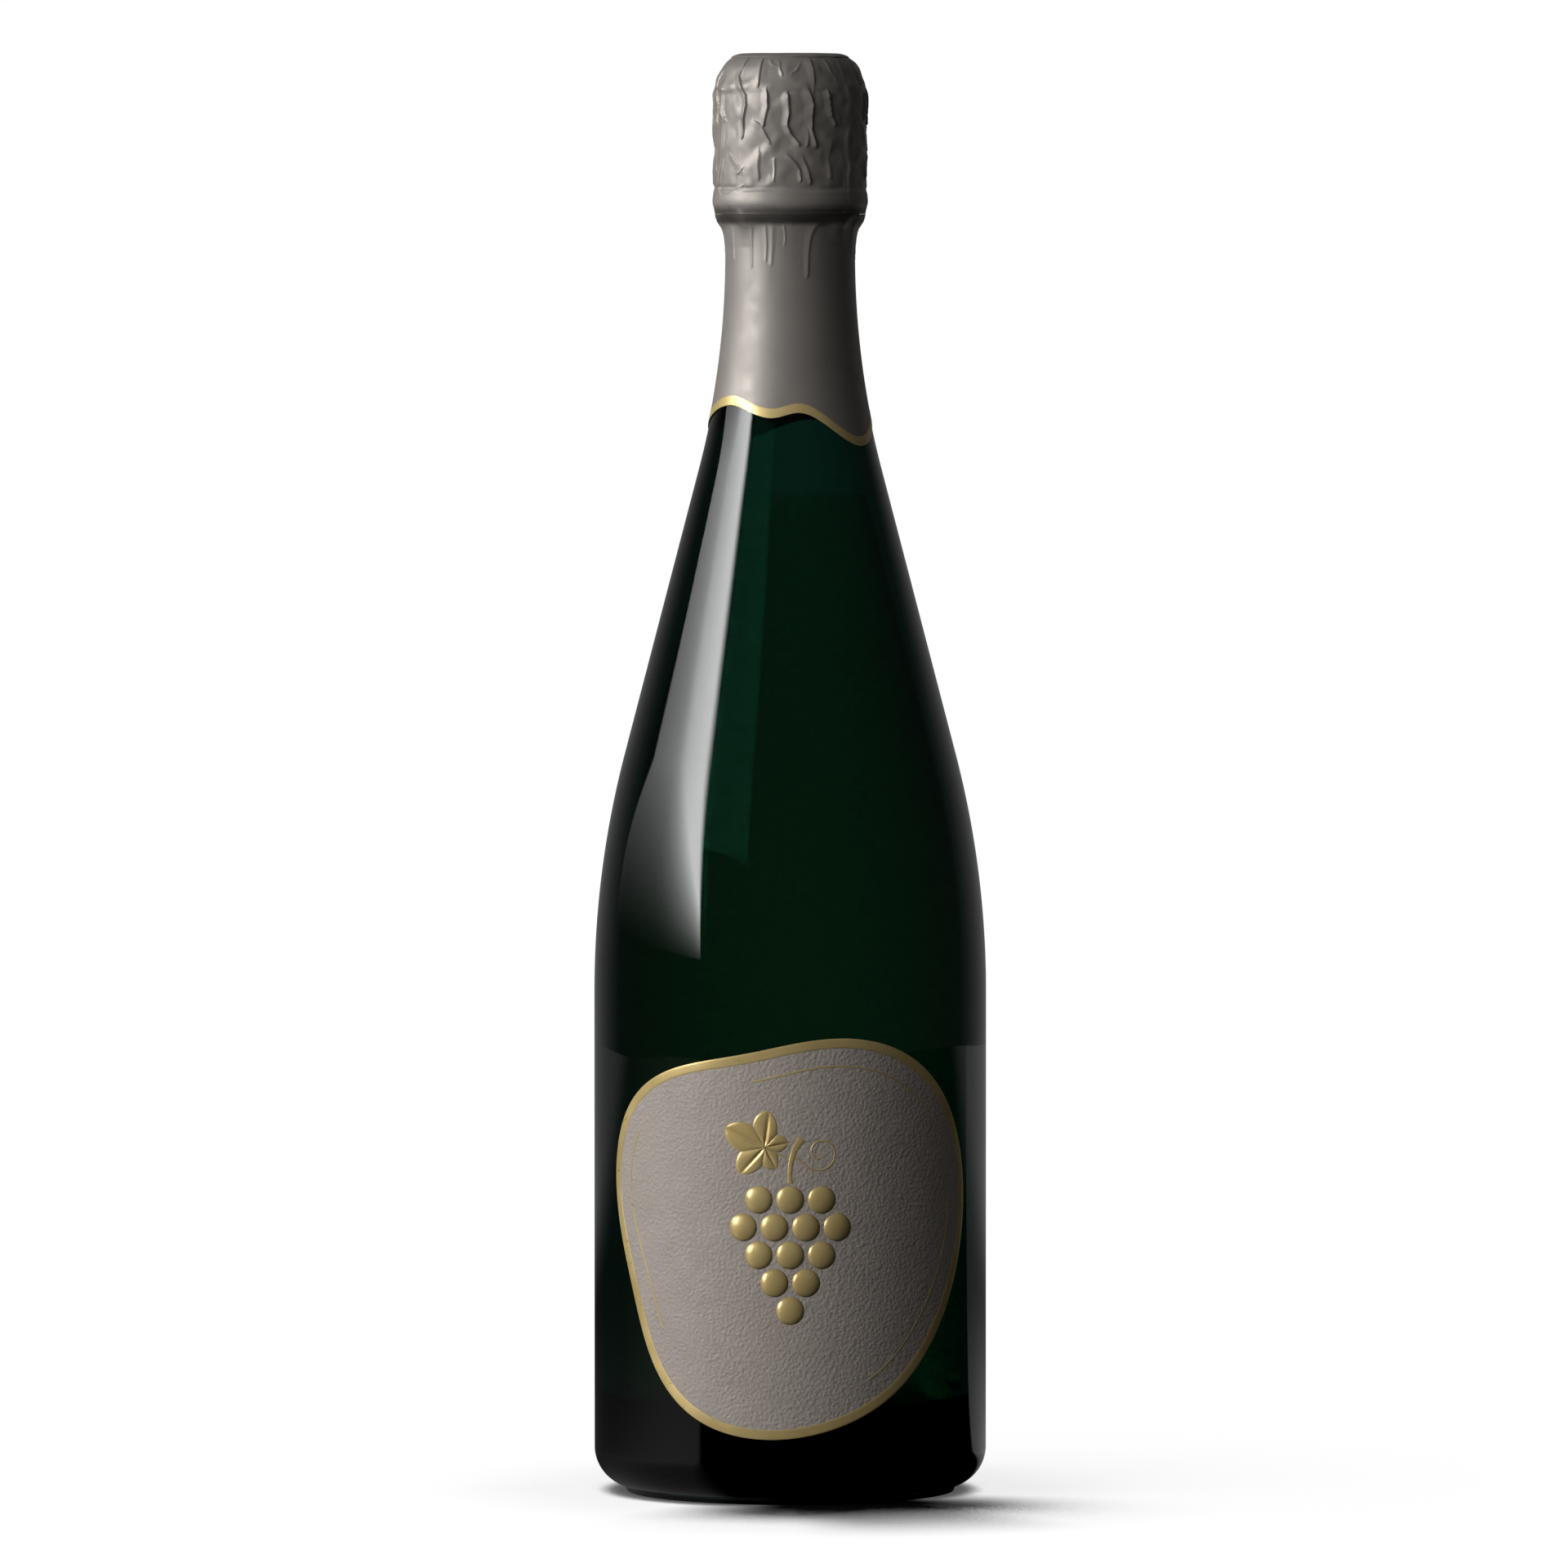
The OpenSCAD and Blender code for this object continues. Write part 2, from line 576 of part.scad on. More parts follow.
// One strand of the eye's stem, from the belt's end up past the ring, with +x outwards
function eye_strand(side) = let (
    steps = ceil(eye_turns * rings_per_turn),
    belt_end = belt_r * [cos(belt_end_angle), side * sin(belt_end_angle)],
    belt_way = [sin(belt_end_angle), -side * cos(belt_end_angle)] * belt_wire_r / 2)
    concat(
        [[belt_end[0], belt_end[1], belt_z],
            [belt_end[0] + belt_way[0], belt_end[1] + belt_way[1], belt_z],
            [(belt_r + eye_r) / 2, side * (eye_pair_r + belt_wire_r / 2), belt_z + belt_wire_r / 4],
            [eye_r - belt_wire_r / 4, side * eye_pair_r, belt_z + belt_wire_r],
            [eye_r, side * eye_pair_r, ring_z],
            [eye_r, side * eye_pair_r, ring_top_z - belt_wire_r]],
        [for (i = [0:steps]) let (turn = full_turn * eye_turns * i / steps)
            [eye_twist_r + side * eye_pair_r * sin(turn),
                side * eye_pair_r * cos(turn), eye_stem_z + eye_stem_len * i / steps]]);

// The eye's loop, from the top of one strand to the top of the other
function eye_loop() = let (
    low_z = eye_stem_z + eye_stem_len,
    mid_z = low_z + eye_loop_len / 2)
    [for (i = [1:eye_loop_rings - 1]) let (a = full_turn * i / eye_loop_rings - quarter_turn)
        [eye_twist_r, eye_loop_half_w * cos(a), mid_z + eye_loop_len / 2 * sin(a)]];

module muselet_eye() {
    color(wire_rgb) rotate([0, 0, eye_turn_angle - quarter_turn])
        wire(concat(eye_strand(1), eye_loop(), reversed(eye_strand(-1))), belt_wire_r);
}

module foil_cap() {
    skin = concat([[cap_out_r, tear_z + tear_gap]],
        crown_over(cap_plaque_gap + foil_t, cap_out_r),
        [[crown_r - top_fold_w, cap_top_z]]);
    lining = concat([[cap_in_r, tear_z + tear_gap]], crown_over(cap_plaque_gap, cap_in_r),
        [[crown_r - top_fold_w, cap_top_z - foil_t]]);
    color(foil_rgb) rotate_extrude() polygon(concat(skin, reversed(lining)));
}

module foil_top_disc() {
    distance = cap_plaque_gap + foil_t + top_disc_glue_t;
    color(foil_rgb) rotate_extrude()
        polygon(concat(crown_top(distance + foil_t), reversed(crown_top(distance))));
}

module foil_tear_tab() {
    in_r = cap_out_r + tab_gap;
    color(foil_rgb) translate([0, 0, tear_z + tear_gap + tab_lift])
        rotate([0, 0, eye_turn_angle - quarter_turn])
            rotate_extrude(angle = tab_len / in_r * half_turn / PI)
                translate([in_r, 0]) square([foil_t, tab_h]);
}

// The collar's outline at a distance from the glass, up to the torn edge
function collar_line(distance) = concat(
    hollow(-distance, hem_low_z - over, neck_z),
    [for (p = flare_shares) [neck_r + distance + (cap_in_r - foil_gap - neck_r) * p[1],
        tear_z - flare_h * (1 - p[0])]]);

module collar_shell(near, far) {
    rotate_extrude() polygon(concat(collar_line(far), reversed(collar_line(near))));
}

module foil_collar() {
    color(foil_rgb) intersection() {
        collar_shell(foil_gap, foil_gap + foil_t);
        above_hem(glass_h - hem_low_z, true);
    }
}

module collar_gilding() {
    color(gold_rgb) intersection() {
        collar_shell(foil_gap + foil_t, foil_gap + foil_t + gilding_t);
        above_hem(hem_band_h, false);
    }
}

// A shell of the label's thickness on the front of the glass
module label_shell(near_r, thickness) {
    half_h = label_size * label_span_share;
    translate([0, 0, label_z - half_h]) difference() {
        cylinder(r = near_r + thickness, h = 2 * half_h);
        translate([0, 0, -over]) cylinder(r = near_r, h = 2 * (half_h + over));
    }
}

// Flat artwork in the front view, pushed through the front of the glass
module through_front() {
    rotate([quarter_turn, 0, 0]) linear_extrude(height = body_d) children();
}

module front_label() {
    color([0.5, 0.47, 0.44]) intersection() {
        label_shell(label_r, label_t);
        through_front() polygon(label_line(0, 0, full_turn, label_steps));
    }
}

// A thin stretch of line that follows the label's edge
module inner_line(span) {
    steps = ceil((span[1] - span[0]) / full_turn * label_steps);
    polygon(concat(label_line(inner_line_inset, span[0], span[1], steps),
        reversed(label_line(inner_line_inset + inner_line_w, span[0], span[1], steps))));
}

// Outline of a flat strip along a line, with its half width at each point
function strip(line, halves) = let (
    last = len(line) - 1,
    sides = [for (i = [0:last]) let (way = line[min(i + 1, last)] - line[max(i - 1, 0)])
        halves[i] / norm(way) * [-way[1], way[0]]])
    concat([for (i = [0:last]) line[i] + sides[i]], [for (i = [last:-1:0]) line[i] - sides[i]]);

// A bunch of grapes: rows of berries under a stem with a leaf and a tendril
module bunch() {
    row_h = berry_pitch * berry_row_share;
    top = berry_pitch * bunch_lift_share;
    for (row = [0:len(berry_rows) - 1], k = [0:berry_rows[row] - 1])
        translate(wrapped((k - (berry_rows[row] - 1) / 2) * berry_pitch, top - row * row_h))
            circle(d = berry_d, $fn = 32);
    translate(wrapped(0, top)) {
        polygon(strip([for (p = stem_line_shares) berry_pitch * [p[0], p[1]]],
            [for (p = stem_line_shares) berry_pitch * p[2]]));
        leaf();
        tendril();
    }
}

// A vine leaf on its stalk
module leaf() {
    size = berry_pitch * leaf_size_share;
    middle = berry_pitch * leaf_middle_share;
    lobe_span = full_turn / leaf_lobes;
    blade = [for (i = [1:label_steps - 1]) let (
        a = full_turn * i / label_steps - half_turn,
        off = abs(a - lobe_span * round(a / lobe_span)) / (lobe_span / 2),
        reach = size * (1 - leaf_notch_share * pow(off, leaf_notch_power)) * (1 + leaf_lead_share * cos(a)))
        reach * [cos(a), sin(a)]];
    stalk = [[-middle, inner_line_w / 2], [-middle, -inner_line_w / 2]];
    translate(berry_pitch * leaf_foot_shares) rotate(leaf_turn) translate([middle, 0])
        polygon(concat(blade, stalk));
}

// A thin tendril that curls beside the stem
module tendril() {
    curl = [for (i = [0:tendril_steps]) let (
        share = i / tendril_steps,
        a = tendril_start + tendril_sweep * share,
        reach = tendril_reach_shares[0] + (tendril_reach_shares[1] - tendril_reach_shares[0]) * share)
        tendril_place_shares + reach * [cos(a), sin(a)]];
    line = [for (p = concat([tendril_foot_shares], curl)) berry_pitch * p];
    polygon(strip(line, [for (p = line) inner_line_w / 2]));
}

module label_gilding() {
    color(gold_rgb) intersection() {
        label_shell(label_r + label_t, gilding_t);
        through_front() {
            difference() {
                polygon(label_line(0, 0, full_turn, label_steps));
                polygon(label_line(border_w, 0, full_turn, label_steps));
            }
            for (span = inner_line_spans) inner_line(span);
            bunch();
        }
    }
}

bottle_glass();
wine();
cork_body();
cork_disc_upper();
cork_disc_lower();
muselet_plaque();
muselet_wire_right();
muselet_wire_back();
muselet_wire_left();
muselet_wire_front();
muselet_leg_eyelets();
muselet_belt();
muselet_eye();
foil_cap();
foil_top_disc();
foil_tear_tab();
foil_collar();
collar_gilding();
front_label();
label_gilding();
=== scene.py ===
from math import acos, asin, atan2, cos, degrees, hypot, pi, radians, sin, sqrt, tan

import bmesh
import bpy
import numpy as np
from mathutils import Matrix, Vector


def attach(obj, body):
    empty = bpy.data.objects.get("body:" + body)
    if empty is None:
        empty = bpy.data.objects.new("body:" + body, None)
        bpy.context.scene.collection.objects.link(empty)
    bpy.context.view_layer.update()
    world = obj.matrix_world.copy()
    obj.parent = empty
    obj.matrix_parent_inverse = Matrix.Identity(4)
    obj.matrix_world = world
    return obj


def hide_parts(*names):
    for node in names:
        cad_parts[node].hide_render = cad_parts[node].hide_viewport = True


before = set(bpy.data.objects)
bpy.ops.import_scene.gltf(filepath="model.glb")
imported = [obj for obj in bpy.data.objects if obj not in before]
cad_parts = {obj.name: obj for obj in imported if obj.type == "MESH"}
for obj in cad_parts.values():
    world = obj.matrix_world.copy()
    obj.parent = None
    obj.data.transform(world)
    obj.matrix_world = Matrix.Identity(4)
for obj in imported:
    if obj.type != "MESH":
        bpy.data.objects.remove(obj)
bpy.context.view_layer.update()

# Sizes are in millimetres, as in the part's source, and MM turns them into metres
MM = 0.001
FULL_TURN = 360
HALF_TURN = 180
QUARTER_TURN = 90
# Double points closer than this, in metres, are merged
MERGE_DISTANCE = 1e-7
# How far a rounded crest falls towards its foot: 1 would make it half round
CREST_FALL = 0.96
# Points round each turned form, and across it where there are two numbers
CAP_COLUMNS = 640
DISC_COLUMNS = 320
COLLAR_GRID = (480, 200)
HEM_COLUMNS = 720
LABEL_GRID = (540, 70)
BORDER_COLUMNS = 720
LEAF_COLUMNS = 360
TAB_GRID = (48, 16)
BERRY_COLUMNS = 64
# Seeds of the random folds and waves
CAP_SEED = 11
COLLAR_SEED = 21
DISC_EDGE_SEED = 5
DISC_DENT_SEED = 8

# Glass
BODY_R = 44
BODY_TOP_Z = 112.31
SHOULDER_ARC_R = 211
SHOULDER_SLOPE = 14.6
NECK_ARC_R = 190
NECK_R = 14.3
GLASS_H = 302.5
WALL = 4.9
HEEL_R = 9
HEEL_TOP_Z = 9.9
HEEL_START_ANGLE = -70
FOOT_H = 0.9
BEARING_R = 36.8
BEARING_W = 2.6
PUNT_FOOT = (32.9, 1.3)
PUNT_H = 40
PUNT_DOME_R = 14
BASE_WALL = 6.5
FLOOR_FILLET_R = 6

# Mouth finish
RING_Z = 287.6
RING_TOP_Z = 293
RING_R = 15.4
RING_ROUND_R = 0.7
THROAT_R = 13.9
THROAT_H = 3.3
GROOVE_R = 13.3
LIP_R = 14.3
LIP_Z = 296
LIP_ROUND_R = 1.2
BORE_R = 8.75
BORE_Z = 275.5
TAPER_Z = 271.5

# Cork and plaque
CORK_R = 8.7
CORK_END_Z = 278.5
CORK_DISC_H = 6
CORK_SEAT_Z = 302.55
CORK_HEAD_R = 14.9
CORK_SWELL_H = 3
PLAQUE_T = 0.25
PLAQUE_RIM_R = 16.65
PLAQUE_TOP_Z = 321.9
PLAQUE_RIM_Z = 314.7
CROWN_SLOPE = 20
CROWN_CORNER_R = 5.5
PLAQUE_GROOVE_INSET = 1.2
PLAQUE_GROOVE_W = 1.4
PLAQUE_GROOVE_DEPTH = 0.3
CORK_HEAD_INSET = 0.6

# Wire cage
WIRE_R = 0.35
BELT_WIRE_R = 0.5
PAIR_R = 0.39
EYE_PAIR_R = 0.54
CROWN_WIRE_R = 15.65
CROWN_WIRE_Z = 315.1
LEG_R = 16.19
LEG_TURNS = 4.25
LEG_SPLAY_H = 2.1
LEG_FOOT_Z = 288.3
EYELET_R = 0.95
EYELET_SWEEP_SHARE = 0.79
BELT_R = 15.25
BELT_Z = 286.2
LEG_TURN_ANGLE = 48
EYE_TURNS = 2.25
EYE_TURN_ANGLE = 183
EYE_R = 16.43
EYE_TWIST_R = 15.89
EYE_STEM_Z = 294
EYE_STEM_LEN = 10
EYE_LOOP_LEN = 9
EYE_LOOP_HALF_W = 3.2

# Foil
CAP_R = 17.23
CAP_FOOT_Z = 286.63
CAP_TOP_Z = 322.4
CAP_OFFSET = 0.5
FOIL_T = 0.14
TOP_DISC_REACH = 3
TOP_DISC_GLUE_T = 0.03
TOP_DISC_T = 0.12
TOP_FOLD_W = 1
TEAR_Z = 286.6
COLLAR_OFFSET = 0.25
COLLAR_T = 0.16
FLARE_H = 5.25
# Height up the flare and share of its reach, plain and where the foil turns in more sharply
FLARE_SHARES = [(-0.4, 0), (0, 0.1), (0.2, 0.19), (0.37, 0.31), (0.5, 0.5), (0.62, 0.68), (0.74, 0.83),
                (0.87, 0.94), (1, 1)]
SHARP_FLARE_SHARES = [(-0.4, 0), (0, 0.04), (0.3, 0.08), (0.5, 0.14), (0.62, 0.26), (0.74, 0.52),
                      (0.86, 0.8), (0.94, 0.93), (1, 1)]
# Half of the front that turns in more sharply, its fade, and how near a leg it ends, in degrees
SHARP_FRONT = (55, 25)
LEG_CLEAR_ANGLE = 9
FLARE_R = 16.66
TAB_R = 17.39
TAB_T = 0.1
TAB_LEN = 12
TAB_H = 5
TAB_Z = 287.1
TAB_END_SHARE = 0.82
TAB_WAVE = 0.03

# Collar hem, as angles from the front and shares of its rise
HEM_LOW_Z = 234.9
HEM_SWING = 9.1
HEM_BAND_H = 2.1
GILDING_T = 0.04
# The band across: share of its height, and how far it stands out from the foil
HEM_BAND_PROFILE = [(0, -0.02), (0, 0.015), (0.06, 0.035), (0.2, 0.04), (0.5, 0.04), (0.8, 0.04),
                    (0.94, 0.035), (1, 0.015), (1, -0.02)]
HEM_ANGLES = [-130, -48.6, -13.4, 6, 54.5, 112, 160, 230]
HEM_HEIGHT_SHARES = [0.1, 1, 0.69, 0.82, 0, 0.95, 0.6, 0.1]

# Label
LABEL_Z = 61.5
LABEL_SIZE = 45.5
LABEL_R = 44.02
LABEL_T = 0.12
LABEL_LOBE_SHARES = [(2, 0.03, 20), (3, 0.06, 30), (4, 0.03, 60), (5, 0.012, 10)]
BORDER_W = 2.2
INNER_LINE_INSET = 6.2
INNER_LINE_W = 0.4
INNER_LINE_SPANS = [(-62, 8), (38, 104), (150, 216)]
BERRY_PITCH = 7
BERRY_R = 3.1
BERRY_ROWS = [3, 4, 3, 2, 1]
BERRY_ROW_SHARE = 0.88
BUNCH_LIFT_SHARE = 1
STEM_LINE_SHARES = [(0, 0.52, 0.08), (-0.02, 0.8, 0.07), (0.02, 1.2, 0.08), (0.14, 1.6, 0.1),
                    (0.36, 1.95, 0.14)]
LEAF_SIZE_SHARE = 1.05
LEAF_FOOT_SHARES = (-0.1, 1.33)
LEAF_MIDDLE_SHARE = 0.78
LEAF_TURN = 155
LEAF_LOBES = 5
LEAF_NOTCH_POWER = 1.4
LEAF_NOTCH_SHARE = 0.42
LEAF_LEAD_SHARE = 0.35
TENDRIL_FOOT_SHARES = (0.15, 1.34)
TENDRIL_PLACE_SHARES = (0.95, 1.5)
TENDRIL_REACH_SHARES = (0.62, 0.14)
TENDRIL_START = 215
TENDRIL_SWEEP = 450
# The gilding's relief in the shading, its shares on lines, strips and berries, a line's profile as places
# across it and shares of its height, the leaf's veins, and how far the gilding is sunk into the label
EMBOSS_H = 0.3
BAND_EMBOSS_SHARE = 0.25
STRIP_EMBOSS_SHARE = 0.4
BERRY_EMBOSS_SHARE = 4
BAND_PROFILE = [(0, 0.3), (0.04, 0.8), (0.2, 0.97), (0.5, 1), (0.8, 0.97), (0.96, 0.8), (1, 0.3)]
VEIN_HALF_W = 0.07
VEIN_DEPTH_SHARE = 0.75
GILDING_SINK = 0.02

# Stage, in metres: the floor's size, tones and where it runs out into plain white, and the reach and
# direction of the soft shadow at the base. Fades are given as two places and the values there.
FLOOR_R = 1.6
FLOOR_WHITE = 1.7
FLOOR_DARK = 0.06
FLOOR_FADE = (0.05, 0.2, 0.93, 1.0)
CONTACT_REACH = 0.07
CONTACT_WAY = (0.35, -0.937, 0)
# How much that shadow gains straight in its direction, its fades towards the open and with direction,
# and its dark core
CONTACT_GAIN = (0.93, 1.0, 0.0, 0.07)
CONTACT_FADE = (0.72, 0.92, 1.0, 0.0)
CONTACT_TURN = (0.55, 0.93, 0.1, 1.0)
CONTACT_CORE = (0.3, 0.55, 0.9, 0.0)
# The pale card that the glass mirrors: the direction across its front edge, and how it fades across that
# edge, with direction, with distance, and close to the bottle
CARD_EDGE_NORMAL = (-0.588, 0.809, 0)
CARD_EDGE = (-0.022, -0.014)
CARD_TURN = (0.1, 1.05, 0.225, 0.026)
CARD_FAR = (0.05, 0.6, 1.25, 0.4)
CARD_NEAR = (0.045, 0.1, 0.4, 1.0)
# Brightness of the far panel in reflections, where it starts and ends on the floor and in the world, the
# world's dark tone, and its extra light on rough surfaces
FAR_PANEL = 0.14
FLOOR_BACK = (0.42, 0.88)
WORLD_BACK = (0.45, 0.97)
WORLD_DARK = (0.02, 0.02, 0.02)
WORLD_SOFT = 0.07
# Plain width of the main softbox, and the share of it that the softbox reaches past each plain edge
SOFTBOX_W = 1.7
SOFTBOX_MARGIN = 0.082
# Its fades, by share of its width from the front edge and of its height: slope and start of where the
# front edge starts and ends, the fall from it, the rear edge and its softness, and the low edge's rise
SOFTBOX_FRONT = ((0.09, -0.085), (0.27, -0.09))
SOFTBOX_FALL = (0.08, 0.5, 1.0, 0.5)
SOFTBOX_REAR = (0.1, 0.55, 1.0, 0.72)
SOFTBOX_REAR_W = 0.03
SOFTBOX_RISE = (0.97, 0.26)
SOFTBOX_RISE_POWER = 1.8
# Camera: lens and sensor in millimetres, the rest in metres
LENS_LEN = 302
SENSOR_W = 36
CAMERA_X = -0.0014
CAMERA_Z = 0.287
CAMERA_DISTANCE = 2.95
CAMERA_AIM_Z = 0.1588

# Angles of the cage's legs from the front
LEG_ANGLES = [-42, 48, 138, 228]
# Half of the gap in the belt for the eye's stem
belt_gap = asin((2 * EYE_PAIR_R + BELT_WIRE_R) / BELT_R)


def arc(r, z, radius, start, end, steps=24):
    """Points of an arc about (r, z), between two angles in degrees."""
    turns = np.radians(np.linspace(start, end, steps + 1))
    return [(r + radius * cos(t), z + radius * sin(t)) for t in turns]


def ease(t):
    """Share of a smooth step from 0 to 1."""
    u = np.clip(t, 0, 1)
    return u * u * (3 - 2 * u)


def near(value, width, height=1):
    """A bell that has its height at zero, and about a third of it at the width."""
    return height * np.exp(-(value / width) ** 2)


def domed(place):
    """Height of a nearly half-round crest from its middle, 0, to its foot, 1."""
    return np.sqrt(1 - CREST_FALL * place ** 2)


def round_angles(columns):
    """Angles of a full turn, in degrees."""
    return np.arange(columns) * FULL_TURN / columns


def apart(angle, other):
    """Signed angle between two directions, in degrees."""
    return (angle - other + HALF_TURN) % FULL_TURN - HALF_TURN


def polar(reach, angle):
    """Flat places at a reach in directions in degrees."""
    t = np.radians(angle)
    return np.stack([reach * np.cos(t), reach * np.sin(t)], axis=-1)


def linked(name, data):
    """An object of the scene with this data."""
    made = bpy.data.objects.new(name, data)
    bpy.context.scene.collection.objects.link(made)
    return made


def make_object(node, made_how, shape, body, sharp_angle, emboss=None):
    """A mesh piece in a node's place that rides on a body, from points in millimetres and faces. Its
    double points are merged and its faces turned outwards. Each point can have an emboss value."""
    mesh = bpy.data.meshes.new(node + "_" + made_how)
    mesh.from_pydata((np.asarray(shape[0], dtype=float) * MM).tolist(), [], shape[1])
    if emboss is not None:
        mesh.attributes.new("emboss", "FLOAT", "POINT").data.foreach_set("value", (MM * emboss).tolist())
    edit = bmesh.new()
    edit.from_mesh(mesh)
    bmesh.ops.remove_doubles(edit, verts=edit.verts, dist=MERGE_DISTANCE)
    bmesh.ops.recalc_face_normals(edit, faces=edit.faces)
    edit.to_mesh(mesh)
    edit.free()
    mesh.shade_smooth()
    mesh.set_sharp_from_angle(angle=radians(sharp_angle))
    piece = linked(mesh.name, mesh)
    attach(piece, body)
    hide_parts(node)
    return piece


def grid_faces(rows, columns, first=0, closed=False, flip=False):
    """Quads over a grid of points, stored row by row. A closed grid joins its last column to its first."""
    faces = []
    for i in range(rows - 1):
        for j in range(columns if closed else columns - 1):
            n = (j + 1) % columns
            face = (first + i * columns + j, first + i * columns + n,
                    first + (i + 1) * columns + n, first + (i + 1) * columns + j)
            faces.append(face[::-1] if flip else face)
    return faces


def shell(outer, inner, closed=True):
    """Points and faces between an outer and an inner grid. Their columns pair up, and in an open shell
    their rows too."""
    (rows, columns), low_rows = outer.shape[:2], inner.shape[0]
    count = rows * columns
    faces = grid_faces(rows, columns, closed=closed)
    faces += grid_faces(low_rows, columns, first=count, closed=closed, flip=True)
    a, b = count - columns, count + (low_rows - 1) * columns
    for j in range(columns if closed else columns - 1):
        n = (j + 1) % columns
        faces += [(j, count + j, count + n, n), (a + j, a + n, b + n, b + j)]
    if not closed:
        for i in range(0, a, columns):
            n, a, b = i + columns, i + columns - 1, i + 2 * columns - 1
            faces += [(i, n, count + n, count + i), (a, count + a, count + b, b)]
    return np.concatenate([outer.reshape(-1, 3), inner.reshape(-1, 3)]), faces


def lathe(node, made_how, outline, body, segments=256, sharp_angle=30):
    """A turned solid. Its outline runs from the axis and back to it, or is a closed loop off the axis."""
    if outline[0][0] > 0:
        outline = list(outline) + [outline[0]]
    turns = np.radians(round_angles(segments))
    points = [(r * cos(t), r * sin(t), z) for r, z in outline for t in turns]
    faces = grid_faces(len(outline), segments, closed=True)
    return make_object(node, made_how, (points, faces), body, sharp_angle)


def tube(points, radius, sides=12):
    """Points and faces of a round wire along points, with flat ends."""
    line = np.asarray(points, dtype=float)
    rings = []
    for i, centre in enumerate(line):
        along = Vector(line[min(i + 1, len(line) - 1)] - line[max(i - 1, 0)]).normalized()
        flank = along.cross(Vector((0, 1, 0) if abs(along.y) < abs(along.x) else (1, 0, 0))).normalized()
        rise = flank.cross(along)
        for k in range(sides):
            t = 2 * pi * k / sides
            rings.append(Vector(centre) + radius * (cos(t) * flank + sin(t) * rise))
    faces = grid_faces(len(line), sides, closed=True)
    faces.append(tuple(range(sides)))
    faces.append(tuple(range(len(rings) - sides, len(rings)))[::-1])
    return [tuple(p) for p in rings], faces


def joined(parts):
    """Several pairs of points and faces as one."""
    points, faces = [], []
    for some_points, some_faces in parts:
        faces += [tuple(len(points) + i for i in face) for face in some_faces]
        points += list(some_points)
    return points, faces


def around(angle, r, z):
    """Points at angles from the front, in degrees."""
    t = np.radians(angle)
    return np.stack([r * np.sin(t), -r * np.cos(t), z + 0 * t], axis=-1)


# Outlines of the glass, as in the part's source
slope = radians(SHOULDER_SLOPE)
shoulder_end_r = BODY_R - SHOULDER_ARC_R * (1 - cos(slope))
shoulder_end_z = BODY_TOP_Z + SHOULDER_ARC_R * sin(slope)
hollow_start_r = NECK_R + NECK_ARC_R * (1 - cos(slope))
hollow_start_z = shoulder_end_z + (shoulder_end_r - hollow_start_r) / tan(slope)
neck_z = hollow_start_z + NECK_ARC_R * sin(slope)
punt_dome_z = PUNT_H - PUNT_DOME_R
punt_reach = hypot(PUNT_FOOT[0], punt_dome_z - PUNT_FOOT[1])
punt_normal = degrees(atan2(punt_dome_z - PUNT_FOOT[1], -PUNT_FOOT[0])
                      - asin(PUNT_DOME_R / punt_reach)) - QUARTER_TURN


def shoulder(depth):
    return arc(BODY_R - SHOULDER_ARC_R, BODY_TOP_Z, SHOULDER_ARC_R - depth, 0, SHOULDER_SLOPE, 40)


def hollow(depth, low_z, high_z):
    radius = NECK_ARC_R + depth
    start = HALF_TURN + degrees(asin((neck_z - low_z) / radius))
    end = HALF_TURN + degrees(asin((neck_z - high_z) / radius))
    return arc(NECK_R + NECK_ARC_R, neck_z, radius, start, end, 40)


def glass_radius(z):
    """Radius of the glass's outside from the cone up to the neck."""
    z = np.asarray(z, dtype=float)
    fall = np.clip(neck_z - z, 0, neck_z - hollow_start_z)
    hollow_r = NECK_R + NECK_ARC_R - np.sqrt(NECK_ARC_R ** 2 - fall ** 2)
    return hollow_r + np.clip(hollow_start_z - z, 0, None) * tan(slope)


lean = radians(CROWN_SLOPE)
crown_z = PLAQUE_TOP_Z - CROWN_CORNER_R
crown_r = PLAQUE_RIM_R + tan(lean) * (PLAQUE_RIM_Z - crown_z) - CROWN_CORNER_R / cos(lean)


def crown(distance, foot_z):
    """The crown over the cork's head at a distance from the plaque, from its flank to the top."""
    foot_r = PLAQUE_RIM_R + (distance - (foot_z - PLAQUE_RIM_Z) * sin(lean)) / cos(lean)
    return [(foot_r, foot_z)] + arc(crown_r, crown_z, CROWN_CORNER_R + distance, CROWN_SLOPE, 90, 16)


